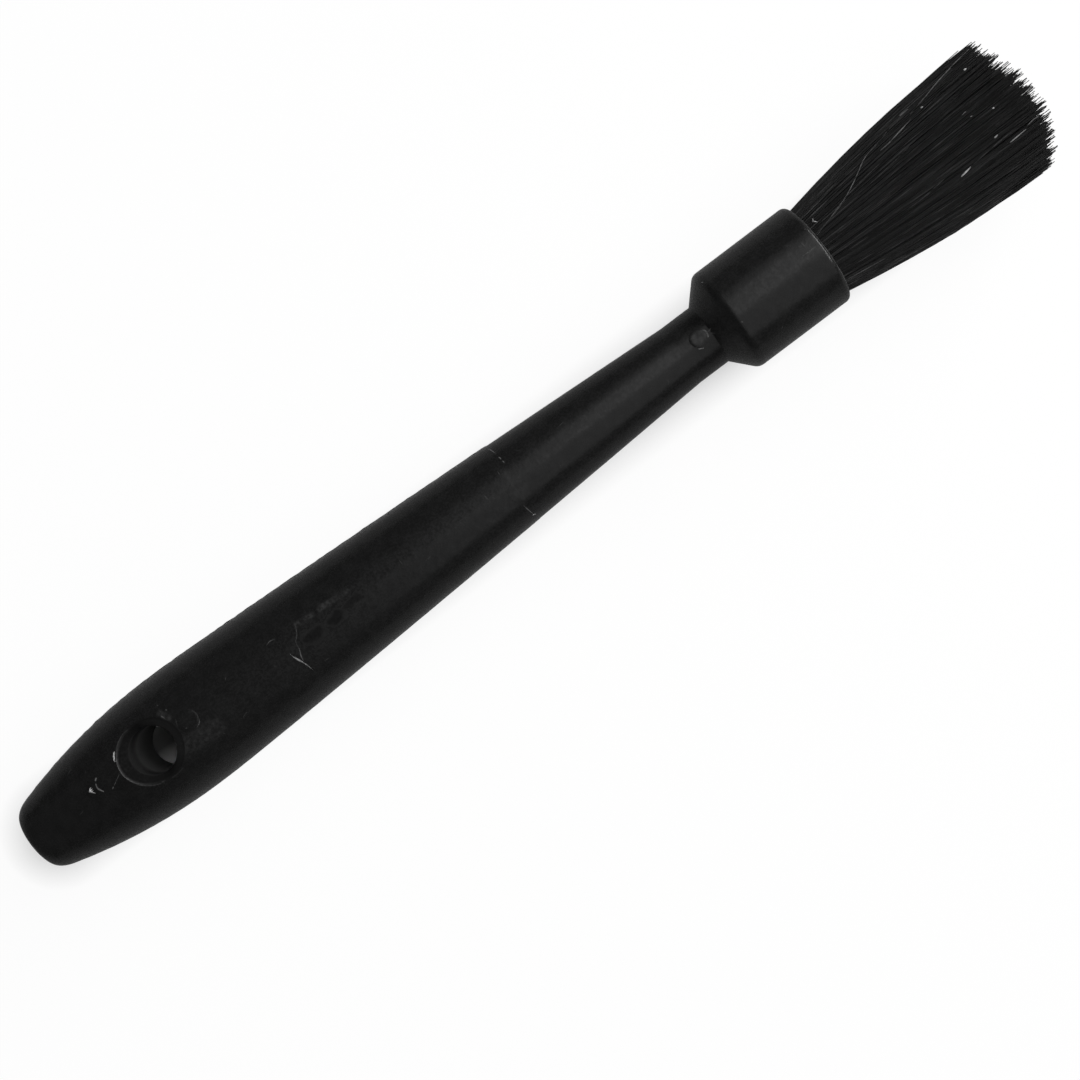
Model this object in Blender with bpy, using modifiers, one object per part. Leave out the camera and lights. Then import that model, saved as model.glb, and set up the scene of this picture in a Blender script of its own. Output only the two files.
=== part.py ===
"""Round cleaning brush for a coffee grinder: one moulded handle with a collar, and a flared tuft set in it.

The brush lies on a table along +X with its bristles towards +X, and +Z points up.
The origin is on the table under the middle of the brush. Metres throughout.
"""

import math
import random

import bmesh
import bpy

MM = 0.001

# Handle, from the butt towards the collar.
BUTT_R = 5.8 * MM  # where the nose would meet the butt plane
BUTT_ROUND = 1.6 * MM
NOSE_LENGTH = 29.5 * MM  # butt to the fullest place
BELLY_R = 10.4 * MM
GRIP_LENGTH = 102.5 * MM  # fullest place to the neck
GRIP_CROWN = 0.13 * MM  # how far the taper bulges past a straight line
GRIP_SOFT = 6.0 * MM  # length over which the belly turns into the taper
NECK_R = 5.35 * MM
NECK_LENGTH = 5.7 * MM
NECK_FILLET = 0.8 * MM
SHOULDER_ANGLE = math.radians(47.5)  # cone's slope against the axis
SHOULDER_ROUND = 2.0 * MM
COLLAR_R = 9.25 * MM
COLLAR_LENGTH = 18.7 * MM
COLLAR_WALL = 0.9 * MM
MOUTH_ROUND = 1.3 * MM  # along the axis
MOUTH_LAND = 0.15 * MM  # flat lip between the rounding and the cup
CUP_FLOOR_FILLET = 0.6 * MM

# Hanging hole, straight across the fullest part of the grip.
HOLE_R = 4.0 * MM
HOLE_FROM_BUTT = 26.0 * MM
HOLE_RIM = 1.35 * MM  # width of its rounded rim
HOLE_RIM_STEP = 0.08 * MM  # witness of the core pin's shoulder round the rim

# Tuft, from the mouth of the collar.
BRISTLE_LENGTH = 40.0 * MM
BRISTLE_RAGGED = 1.8 * MM  # how much shorter the shortest one is
BRISTLE_SEED = 7
TUFT_FLARE = 4.1 * MM  # radius that the tuft gains from the mouth to its tips
TUFT_DROOP = 0.85  # 0 is a straight cone, 1 ends parallel to the axis
TUFT_BEND = 18.0 * MM  # from the mouth to the strands' middle ring
STRAND_RINGS = 10  # ring n has 6 n strands, round one at the centre
STRAND_ROOT_R = 0.24 * MM
STRAND_BEND_R = 0.36 * MM
STRAND_TIP_R = 0.18 * MM
STRAND_SIDES = 3
STRAND_WAVER = 0.05 * MM

# Inside the cup, from its mouth down.
WIRE_DEPTH = 4.5 * MM  # mouth to the wire's first turn
WIRE_D = 0.55 * MM
WIRE_PITCH = 0.9 * MM  # leaves 0.35 mm between turns
WIRE_TURNS = 3
ROOT_CLEAR = 0.5 * MM  # wire's last turn to the slice
SLICE_THICK = 1.5 * MM
PLUG_THICK = 4.5 * MM
PLUG_EDGE = 0.6 * MM  # bevel at the foot of the plug
BED_THICK = 0.8 * MM

FIT_GAP = 0.3 * MM  # between pieces that touch on the real brush

# How finely the round shapes are cut.
TURN_STEPS = 48
PLUG_STEPS = 32
NOSE_POINTS = 10
GRIP_POINTS = 16
ARC_POINTS = 4
ARC_SHARE = 0.45  # most of a profile's straight stretch that one rounded corner takes
HOLE_STEPS = 32
WIRE_POINTS_A_TURN = 16

# Sizes that follow from those above.
SHOULDER_LENGTH = (COLLAR_R - NECK_R) / math.tan(SHOULDER_ANGLE)
NECK_START = NOSE_LENGTH + GRIP_LENGTH
NECK_END = NECK_START + NECK_LENGTH
COLLAR_START = NECK_END + SHOULDER_LENGTH
HANDLE_LENGTH = COLLAR_START + COLLAR_LENGTH
OVERALL_LENGTH = HANDLE_LENGTH + BRISTLE_LENGTH
AXIS_HEIGHT = max(BELLY_R, COLLAR_R)  # the widest part of the handle lies on the table

CUP_R = COLLAR_R - COLLAR_WALL
KNOT_R = CUP_R - FIT_GAP
PINCH_R = KNOT_R - WIRE_D - FIT_GAP  # the roots inside the wire
WIRE_LENGTH = WIRE_PITCH * WIRE_TURNS
SLICE_DEPTH = WIRE_DEPTH + WIRE_LENGTH + WIRE_D + ROOT_CLEAR
PLUG_DEPTH = SLICE_DEPTH + SLICE_THICK + FIT_GAP
BED_DEPTH = PLUG_DEPTH + PLUG_THICK + FIT_GAP
CUP_DEPTH = BED_DEPTH + BED_THICK + FIT_GAP


def clear_scene():
    for obj in list(bpy.data.objects):
        bpy.data.objects.remove(obj, do_unlink=True)


def new_collection(name):
    collection = bpy.data.collections.new(name)
    bpy.context.scene.collection.children.link(collection)
    return collection


def finish(name, colour, roughness, metallic=0.0):
    material = bpy.data.materials.new(name)
    material.use_nodes = True
    shader = material.node_tree.nodes["Principled BSDF"]
    shader.inputs["Base Color"].default_value = (*colour, 1.0)
    shader.inputs["Roughness"].default_value = roughness
    shader.inputs["Metallic"].default_value = metallic
    material.diffuse_color = (*colour, 1.0)
    return material


def add_object(name, data, collection, parent, material=None):
    obj = bpy.data.objects.new(name, data)
    collection.objects.link(obj)
    obj.parent = parent
    if material:
        data.materials.append(material)
    return obj


def bm_to_mesh(name, bm):
    mesh = bpy.data.meshes.new(name)
    bm.to_mesh(mesh)
    bm.free()
    return mesh


def turned(name, profile, steps, collection, parent, material):
    """A body turned about Z from (radius, height) points that run down its outer side."""
    bm = bmesh.new()
    points = [bm.verts.new((radius, 0.0, height)) for radius, height in profile]
    for first, second in zip(points, points[1:]):
        bm.edges.new((first, second))
    obj = add_object(name, bm_to_mesh(name, bm), collection, parent, material)
    screw = obj.modifiers.new("turn", "SCREW")
    screw.axis = "Z"
    screw.angle = math.tau
    screw.steps = steps
    screw.render_steps = steps
    screw.use_merge_vertices = True
    screw.merge_threshold = 0.00001
    screw.use_smooth_shade = True
    obj.rotation_euler.z = math.pi / steps  # a flat of the many-sided body faces the table, not a corner
    return obj


def grip_radius(height):
    """Handle's radius at a height above the butt plane, from the nose to the neck."""
    if height <= NOSE_LENGTH:
        return BELLY_R - (BELLY_R - BUTT_R) * (1 - height / NOSE_LENGTH) ** 2
    along = min((height - NOSE_LENGTH) / GRIP_LENGTH, 1.0)
    soft = GRIP_SOFT / GRIP_LENGTH
    eased = (math.hypot(along, soft) - soft) / (math.hypot(1.0, soft) - soft)
    return BELLY_R + (NECK_R - BELLY_R) * eased + GRIP_CROWN * 4 * along * (1 - along)


def corner_arc(corner, before, after, radius):
    """Points that round a profile's corner between its two neighbours."""
    to_before = [b - c for b, c in zip(before, corner)]
    to_after = [a - c for a, c in zip(after, corner)]
    length_before = math.hypot(*to_before)
    length_after = math.hypot(*to_after)
    unit_before = [v / length_before for v in to_before]
    unit_after = [v / length_after for v in to_after]
    half = math.acos(sum(b * a for b, a in zip(unit_before, unit_after))) / 2
    reach = min(radius / math.tan(half), ARC_SHARE * length_before, ARC_SHARE * length_after)
    radius = reach * math.tan(half)
    bisector = [b + a for b, a in zip(unit_before, unit_after)]
    scale = radius / math.sin(half) / math.hypot(*bisector)
    centre = [c + scale * v for c, v in zip(corner, bisector)]
    start = [c + reach * v - m for c, v, m in zip(corner, unit_before, centre)]
    end = [c + reach * v - m for c, v, m in zip(corner, unit_after, centre)]
    turn = math.pi - 2 * half
    points = []
    for i in range(ARC_POINTS + 1):
        part = i / ARC_POINTS
        first = math.sin((1 - part) * turn) / math.sin(turn)
        second = math.sin(part * turn) / math.sin(turn)
        points.append(tuple(m + first * s + second * e for m, s, e in zip(centre, start, end)))
    return points


def handle_profile():
    """(radius, height) points from the cup's floor, up the cup, over the lip and down to the butt."""
    floor = HANDLE_LENGTH - CUP_DEPTH
    points = [(0.0, floor)]
    points += corner_arc((CUP_R, floor), (0.0, floor), (CUP_R, HANDLE_LENGTH), CUP_FLOOR_FILLET)
    points.append((CUP_R, HANDLE_LENGTH))
    lip_r = CUP_R + min(MOUTH_LAND, COLLAR_WALL / 2)
    for i in range(ARC_POINTS + 1):
        turn = 0.5 * math.pi * i / ARC_POINTS
        radius = lip_r + (COLLAR_R - lip_r) * math.sin(turn)
        points.append((radius, HANDLE_LENGTH - MOUTH_ROUND * (1 - math.cos(turn))))
    shoulder = (COLLAR_R, COLLAR_START)
    foot = (NECK_R, NECK_END)
    points += corner_arc(shoulder, (COLLAR_R, HANDLE_LENGTH), foot, SHOULDER_ROUND)
    points += corner_arc(foot, shoulder, (NECK_R, NECK_START), NECK_FILLET)
    for i in range(GRIP_POINTS):
        height = NOSE_LENGTH + GRIP_LENGTH * (1 - i / GRIP_POINTS)
        points.append((grip_radius(height), height))
    for i in range(NOSE_POINTS):
        height = BUTT_ROUND + (NOSE_LENGTH - BUTT_ROUND) * (1 - i / NOSE_POINTS)
        points.append((grip_radius(height), height))
    edge_r = grip_radius(BUTT_ROUND)
    for i in range(ARC_POINTS + 1):
        turn = 0.5 * math.pi * i / ARC_POINTS
        points.append((edge_r - BUTT_ROUND * (1 - math.cos(turn)), BUTT_ROUND * (1 - math.sin(turn))))
    points.append((0.0, 0.0))
    return points


def hole_rings():
    """(plan radius, drop below the handle's surface) of the hole's rounded rim, from outside in."""
    rings = [(HOLE_R + HOLE_RIM, HOLE_RIM_STEP)]
    for i in range(1, ARC_POINTS + 1):
        turn = 0.5 * math.pi * i / ARC_POINTS
        plan = HOLE_R + HOLE_RIM * (1 - math.sin(turn))
        rings.append((plan, HOLE_RIM_STEP + HOLE_RIM * (1 - math.cos(turn))))
    return rings


def hole_cutter(collection, parent):
    """The space of the hanging hole, with a rounded rim that follows the handle's surface at both ends."""

    def ring(bm, plan, side, drop):
        verts = []
        for i in range(HOLE_STEPS):
            turn = math.tau * i / HOLE_STEPS
            across = plan * math.sin(turn)
            along = HOLE_FROM_BUTT + plan * math.cos(turn)
            if drop is None:
                height = BELLY_R + HOLE_RIM
            else:
                height = math.sqrt(grip_radius(along) ** 2 - across**2) - drop
            verts.append(bm.verts.new((side * height, across, along)))
        return verts

    bm = bmesh.new()
    rings = [ring(bm, HOLE_R + HOLE_RIM, 1, None)]
    rings += [ring(bm, plan, 1, drop) for plan, drop in hole_rings()]
    rings += [ring(bm, plan, -1, drop) for plan, drop in reversed(hole_rings())]
    rings.append(ring(bm, HOLE_R + HOLE_RIM, -1, None))
    for first, second in zip(rings, rings[1:]):
        for i in range(HOLE_STEPS):
            j = (i + 1) % HOLE_STEPS
            bm.faces.new((first[i], first[j], second[j], second[i]))
    bm.faces.new(reversed(rings[0]))
    bm.faces.new(rings[-1])
    bmesh.ops.recalc_face_normals(bm, faces=bm.faces)
    cutter = add_object("hanging_hole_cutter", bm_to_mesh("hanging_hole_cutter", bm), collection, parent)
    cutter.hide_render = True
    cutter.display_type = "WIRE"
    return cutter


def make_handle(parts, cutters, parent):
    black = finish("polypropylene_black", (0.012, 0.012, 0.012), 0.42)
    handle = turned("handle", handle_profile(), TURN_STEPS, parts, parent, black)
    cut = handle.modifiers.new("hanging_hole", "BOOLEAN")
    cut.operation = "DIFFERENCE"
    cut.solver = "EXACT"
    cut.object = hole_cutter(cutters, parent)


def tuft_radius(out):
    """Outer radius of the bundle at a distance out of the mouth, negative inside the cup."""
    if out < 0:
        return KNOT_R + (KNOT_R - PINCH_R) * out / WIRE_DEPTH
    part = out / BRISTLE_LENGTH
    return KNOT_R + TUFT_FLARE * ((1 + TUFT_DROOP) * part - TUFT_DROOP * part**2)


def settle(down, across, radius, strand_r):
    """How far below the axis a strand lies once the tuft's underside has settled on the table."""
    room = AXIS_HEIGHT - strand_r * math.cos(math.pi / STRAND_SIDES)
    deepest = math.sqrt(max(radius**2 - across**2, 0.0))
    if down <= 0 or deepest <= room:
        return down
    return down * room / deepest


def strand_places():
    """(share of the bundle's radius, angle) of every strand: one at the centre, in rings round it."""
    golden_angle = math.pi * (3 - math.sqrt(5))  # turns each ring against the next, so no rows line up
    places = [(0.0, 0.0)]
    for ring in range(1, STRAND_RINGS + 1):
        count = 6 * ring
        for i in range(count):
            places.append((ring / STRAND_RINGS, math.tau * i / count + golden_angle * ring))
    return places


def add_strand(bm, share, angle, length, chance):
    """One three-sided bristle from inside the slice to its tip."""
    stations = [
        (-SLICE_DEPTH - SLICE_THICK / 2, STRAND_ROOT_R, 0.0),
        (0.0, STRAND_ROOT_R, 0.0),
        (TUFT_BEND, STRAND_BEND_R, STRAND_WAVER),
        (length, STRAND_TIP_R, STRAND_WAVER),
    ]
    facing = chance.uniform(0.0, math.tau)
    if share == 1.0:
        facing = math.pi / STRAND_SIDES  # the outermost ones turn a flat side to the table
    rings = []
    for out, strand_r, waver in stations:
        radius = tuft_radius(out) - strand_r
        waver *= 1 - share
        down = share * radius * math.cos(angle) + chance.uniform(-waver, waver)
        across = share * radius * math.sin(angle) + chance.uniform(-waver, waver)
        down = settle(down, across, radius, strand_r)
        ring = []
        for side in range(STRAND_SIDES):
            turn = facing + math.tau * side / STRAND_SIDES
            low = down + strand_r * math.cos(turn)
            aside = across + strand_r * math.sin(turn)
            ring.append(bm.verts.new((low, aside, HANDLE_LENGTH + out)))
        rings.append(ring)
    for first, second in zip(rings, rings[1:]):
        for i in range(STRAND_SIDES):
            j = (i + 1) % STRAND_SIDES
            bm.faces.new((first[i], first[j], second[j], second[i]))
    bm.faces.new(reversed(rings[0]))
    bm.faces.new(rings[-1])


def make_tuft(parts, cutters, parent):
    """The strands, each closed by itself, joined to the slice of resin that their roots stand in."""
    chance = random.Random(BRISTLE_SEED)
    bm = bmesh.new()
    for number, (share, angle) in enumerate(strand_places()):
        ragged = BRISTLE_RAGGED * chance.random() if number else 0.0
        add_strand(bm, share, angle, BRISTLE_LENGTH - ragged, chance)
    strands = add_object("strands", bm_to_mesh("strands", bm), cutters, parent)
    strands.hide_render = True
    strands.display_type = "WIRE"
    top = HANDLE_LENGTH - SLICE_DEPTH
    profile = [(0.0, top), (KNOT_R, top), (KNOT_R, top - SLICE_THICK), (0.0, top - SLICE_THICK)]
    black = finish("bristle_black", (0.009, 0.009, 0.009), 0.5)
    tuft = turned("bristle_tuft", profile, PLUG_STEPS, parts, parent, black)
    join = tuft.modifiers.new("strands", "BOOLEAN")
    join.operation = "UNION"
    join.solver = "EXACT"
    join.object = strands


def make_plug(parts, parent):
    top = HANDLE_LENGTH - PLUG_DEPTH
    foot = top - PLUG_THICK
    edge = min(PLUG_EDGE, PLUG_THICK / 2)
    profile = [(0.0, top), (KNOT_R, top), (KNOT_R, foot + edge), (KNOT_R - edge, foot), (0.0, foot)]
    amber = finish("epoxy_resin", (0.24, 0.15, 0.05), 0.25)
    turned("resin_plug", profile, PLUG_STEPS, parts, parent, amber)


def make_bed(parts, parent):
    top = HANDLE_LENGTH - BED_DEPTH
    foot = top - BED_THICK
    bed_r = KNOT_R - CUP_FLOOR_FILLET  # clear of the rounded corner of the cup's floor
    profile = [(0.0, top), (bed_r, top), (bed_r, foot), (0.0, foot)]
    clear = finish("assembly_adhesive", (0.45, 0.42, 0.33), 0.3)
    turned("adhesive_bed", profile, PLUG_STEPS, parts, parent, clear)


def make_wire(parts, parent):
    """Turns of soft wire round the roots, from just above the slice up."""
    coil_r = KNOT_R - WIRE_D / 2
    steps = WIRE_TURNS * WIRE_POINTS_A_TURN
    start = HANDLE_LENGTH - WIRE_DEPTH - WIRE_D / 2
    curve = bpy.data.curves.new("binding_wire", "CURVE")
    curve.dimensions = "3D"
    curve.bevel_depth = WIRE_D / 2
    curve.bevel_resolution = 1
    curve.use_fill_caps = True
    spline = curve.splines.new("POLY")
    spline.points.add(steps)
    for i, point in enumerate(spline.points):
        turn = math.tau * i / WIRE_POINTS_A_TURN
        drop = WIRE_PITCH * i / WIRE_POINTS_A_TURN
        point.co = (coil_r * math.cos(turn), coil_r * math.sin(turn), start - drop, 1.0)
    steel = finish("tinned_wire", (0.55, 0.55, 0.55), 0.35, metallic=1.0)
    add_object("binding_wire", curve, parts, parent, steel)


def main():
    clear_scene()
    parts = new_collection("grinder_cleaning_brush")
    cutters = new_collection("cutters")
    lying = bpy.data.objects.new("brush_axis", None)
    parts.objects.link(lying)
    lying.location = (-OVERALL_LENGTH / 2, 0.0, AXIS_HEIGHT)
    lying.rotation_euler = (0.0, math.pi / 2, 0.0)
    make_handle(parts, cutters, lying)
    make_tuft(parts, cutters, lying)
    make_wire(parts, lying)
    make_plug(parts, lying)
    make_bed(parts, lying)


main()
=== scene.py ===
# Looks of the round cleaning brush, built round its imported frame. Metres, +X to the bristle tips, +Z up.
import math
import random

import bmesh
import bpy
from mathutils import Matrix, Vector


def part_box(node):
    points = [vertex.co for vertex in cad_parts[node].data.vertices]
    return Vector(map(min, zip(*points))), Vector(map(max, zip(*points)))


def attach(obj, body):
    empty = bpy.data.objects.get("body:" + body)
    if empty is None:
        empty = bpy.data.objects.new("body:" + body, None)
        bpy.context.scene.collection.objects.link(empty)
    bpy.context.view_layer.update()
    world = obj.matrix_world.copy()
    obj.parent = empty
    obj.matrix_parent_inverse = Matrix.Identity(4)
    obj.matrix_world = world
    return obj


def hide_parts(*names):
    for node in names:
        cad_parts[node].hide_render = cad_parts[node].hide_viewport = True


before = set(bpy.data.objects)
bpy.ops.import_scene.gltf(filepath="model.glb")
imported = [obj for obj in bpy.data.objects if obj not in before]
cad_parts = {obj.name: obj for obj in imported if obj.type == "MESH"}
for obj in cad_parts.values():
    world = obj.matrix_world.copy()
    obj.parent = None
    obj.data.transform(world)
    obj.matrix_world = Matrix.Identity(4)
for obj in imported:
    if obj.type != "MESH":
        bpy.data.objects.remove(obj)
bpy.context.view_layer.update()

mm = 0.001
scene = bpy.context.scene

# Places on the frame that everything below starts from.
handleLow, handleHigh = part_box("handle")
_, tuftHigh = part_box("bristle_tuft")
buttX = handleLow.x
mouthX = handleHigh.x
axisZ = (handleLow.z + handleHigh.z) / 2
print("frame: butt %.2f mm, mouth %.2f mm, axis %.2f mm up" % (buttX / mm, mouthX / mm, axisZ / mm))


def colour(hexCode):  # sRGB hex to the linear values that Blender wants
    parts = [int(hexCode[i : i + 2], 16) / 255 for i in (1, 3, 5)]
    linear = [c / 12.92 if c <= 0.04045 else ((c + 0.055) / 1.055) ** 2.4 for c in parts]
    return (*linear, 1.0)


def addNode(tree, kind, inputs=None, **settings):  # a node with its settings, values and links
    node = tree.nodes.new(kind)
    for name, value in settings.items():
        setattr(node, name, value)
    for key, value in (inputs or {}).items():
        if isinstance(value, bpy.types.Node):
            value = next(s for s in value.outputs if s.enabled)
        if isinstance(value, bpy.types.NodeSocket):
            tree.links.new(value, node.inputs[key])
        else:
            node.inputs[key].default_value = value
    return node


def newTree(name, inputs):  # an empty Geometry Nodes tree with named inputs, and its group input node
    tree = bpy.data.node_groups.new(name, "GeometryNodeTree")
    for socketName, kind in inputs:
        tree.interface.new_socket(socketName, in_out="INPUT", socket_type="NodeSocket" + kind)
    tree.interface.new_socket("Geometry", in_out="OUTPUT", socket_type="NodeSocketGeometry")
    return tree, addNode(tree, "NodeGroupInput").outputs


def endTree(tree, geometry, material):  # no instances left, and the material on every face
    whole = addNode(tree, "GeometryNodeRealizeInstances", {"Geometry": geometry})
    dressed = addNode(tree, "GeometryNodeSetMaterial", {"Geometry": whole, "Material": material})
    addNode(tree, "NodeGroupOutput", {"Geometry": dressed})


def growMesh(name, tree, values, start=None):
    # runs a tree on a start mesh and keeps the plain mesh it makes
    obj = bpy.data.objects.new(name, start or bpy.data.meshes.new(name + "Start"))
    scene.collection.objects.link(obj)
    modifier = obj.modifiers.new("grow", "NODES")
    modifier.node_group = tree
    for item in tree.interface.items_tree:
        if item.in_out == "INPUT" and item.name in values:
            modifier[item.identifier] = values[item.name]
    return freeze(obj, name)


def freeze(obj, name):  # the evaluated mesh takes the place of the modifiers
    graph = bpy.context.evaluated_depsgraph_get()
    mesh = bpy.data.meshes.new_from_object(obj.evaluated_get(graph), depsgraph=graph)
    obj.modifiers.clear()
    obj.data = mesh
    mesh.name = name
    return obj


def addMesh(name, bm, material):
    mesh = bpy.data.meshes.new(name)
    bm.to_mesh(mesh)
    bm.free()
    obj = bpy.data.objects.new(name, mesh)
    scene.collection.objects.link(obj)
    mesh.materials.append(material)
    return obj


def newMaterial(name):  # an empty material with its Principled shader, which the caller feeds
    material = bpy.data.materials.new(name)
    material.use_nodes = True
    return material, material.node_tree, material.node_tree.nodes["Principled BSDF"]


def segmentMaskGroup():
    # in a material: how far a point is from the line between two points, in half-widths
    tree = bpy.data.node_groups.new("segmentMask", "ShaderNodeTree")
    for name, kind in (("Vector", "Vector"), ("From", "Vector"), ("To", "Vector"), ("Width", "Float")):
        tree.interface.new_socket(name, in_out="INPUT", socket_type="NodeSocket" + kind)
    tree.interface.new_socket("Share", in_out="OUTPUT", socket_type="NodeSocketFloat")
    given = addNode(tree, "NodeGroupInput").outputs
    offset = addNode(tree, "ShaderNodeVectorMath", {0: given["Vector"], 1: given["From"]},
        operation="SUBTRACT")
    run = addNode(tree, "ShaderNodeVectorMath", {0: given["To"], 1: given["From"]}, operation="SUBTRACT")
    onRun = addNode(tree, "ShaderNodeVectorMath", {0: offset, 1: run},
        operation="DOT_PRODUCT").outputs["Value"]
    square = addNode(tree, "ShaderNodeVectorMath", {0: run, 1: run},
        operation="DOT_PRODUCT").outputs["Value"]
    part = addNode(tree, "ShaderNodeMath", {0: onRun, 1: square}, operation="DIVIDE", use_clamp=True)
    near = addNode(tree, "ShaderNodeVectorMath", {0: run, "Scale": part}, operation="SCALE")
    gap = addNode(tree, "ShaderNodeVectorMath", {0: offset, 1: near}, operation="DISTANCE").outputs["Value"]
    share = addNode(tree, "ShaderNodeMath", {0: gap, 1: given["Width"]}, operation="DIVIDE")
    addNode(tree, "NodeGroupOutput", {"Share": share})
    return tree


segmentMask = segmentMaskGroup()


# The camera looks almost straight down, from where the photograph was taken.
cameraView = {
    "focal": 61.67,  # mm on a 36 mm sensor
    "distance": 302.5 * mm,  # to the brush's axis
    "aimFromButt": 95.62 * mm,
    "aimAside": 10.2 * mm,  # towards -Y
    "leanAlong": 1.55,  # degrees towards the tips
    "leanAcross": 1.2,  # degrees towards -Y
    "turn": 36.987,  # degrees that the brush climbs to the right
}


def makeCamera(view):
    along, across = math.radians(view["leanAlong"]), math.radians(view["leanAcross"])
    back = Vector((math.sin(along), -math.sin(across) * math.cos(along),
        math.cos(across) * math.cos(along)))
    tipward = (Vector((1, 0, 0)) - back * back.x).normalized()
    aside = tipward.cross(back)  # towards -Y, the lower right of the picture
    turn = math.radians(view["turn"])
    right = tipward * math.cos(turn) + aside * math.sin(turn)
    up = tipward * math.sin(turn) - aside * math.cos(turn)
    aim = Vector((buttX + view["aimFromButt"], 0, axisZ)) + aside * view["aimAside"]
    place = Matrix((right, up, back)).transposed().to_4x4()
    place.translation = aim + back * view["distance"]
    data = bpy.data.cameras.new("photoCamera")
    data.sensor_width = 36.0
    data.lens = view["focal"]
    data.clip_start = 10 * mm
    camera = bpy.data.objects.new("photoCamera", data)
    scene.collection.objects.link(camera)
    camera.matrix_world = place
    scene.camera = camera


makeCamera(cameraView)
print("camera ready")


# Soft studio light: two wide panels overhead on the tips' side, a brighter one between them, a weak one on
# the butt's side, a narrow strong one low behind the tips, and a dim room. Sizes are (along the brush,
# across it), and directions in degrees.
lamps = {
    "nearPanel": {"tipward": 20, "aside": 30, "distance": 1.0, "size": (0.80, 1.18), "radiance": 0.88},
    "farPanel": {"tipward": 26, "aside": -22, "distance": 1.0, "size": (0.60, 0.83), "radiance": 0.88},
    "brightPanel": {"tipward": 24, "aside": -11, "distance": 0.95, "size": (0.68, 0.66), "radiance": 1.14},
    "fillPanel": {"tipward": -64, "aside": 0, "distance": 1.0, "size": (0.8, 1.6), "radiance": 0.1},
    "tipLamp": {"tipward": 62, "aside": -8, "distance": 1.1, "size": (0.22, 1.20), "radiance": 16.0},
}
roomStrength = 0.10
floorLook = {
    "size": 4.0,
    "paper": "#fbfbfb",
    "roughness": 0.9,
    "specular": 0.1,
    "inTheSheen": "#a4a4a4",
    "whiteness": 0.94,  # how far the camera sees it turned white, away from the brush
    "whiteFrom": -2.0 * mm,  # from the brush's axis
    "whiteAt": 10.5 * mm,
    "holeShade": (23.5 * mm, 0.4 * mm),  # middle of the painted shadow on the paper under the hole: from the butt, towards +Y
    "holeShadeR": (2.3 * mm, 3.6 * mm),
    "holeShadeEnd": 1.15,  # where its soft edge ends, in its own radii
    "holeFade": ((-2.6 * mm, 0.1), (0.4 * mm, 0.84)),  # how dim it is on its -Y side, and on its +Y side
}


def makeLamp(name, lamp):
    data = bpy.data.lights.new(name, "AREA")
    data.shape = "RECTANGLE"
    data.size, data.size_y = lamp["size"]
    data.energy = lamp["radiance"] * math.pi * data.size * data.size_y
    tipward, aside = math.radians(lamp["tipward"]), math.radians(lamp["aside"])
    back = Vector((math.sin(tipward), -math.sin(aside) * math.cos(tipward),
        math.cos(aside) * math.cos(tipward)))
    along = (Vector((1, 0, 0)) - back * back.x).normalized()
    place = Matrix((along, back.cross(along), back)).transposed().to_4x4()
    place.translation = back * lamp["distance"] + Vector((0, 0, axisZ))
    obj = bpy.data.objects.new(name, data)
    scene.collection.objects.link(obj)
    obj.matrix_world = place


def makeRoom(strength):
    world = bpy.data.worlds.new("studioRoom")
    scene.world = world
    world.use_nodes = True
    tree = world.node_tree
    tree.nodes.clear()
    rays = addNode(tree, "ShaderNodeLightPath")
    room = addNode(tree, "ShaderNodeBackground", {"Color": colour("#ffffff"), "Strength": strength})
    seen = addNode(tree, "ShaderNodeBackground", {"Color": colour("#ffffff"), "Strength": 1.0})
    pick = addNode(tree, "ShaderNodeMixShader", {0: rays.outputs["Is Camera Ray"], 1: room, 2: seen})
    addNode(tree, "ShaderNodeOutputWorld", {"Surface": pick})


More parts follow.
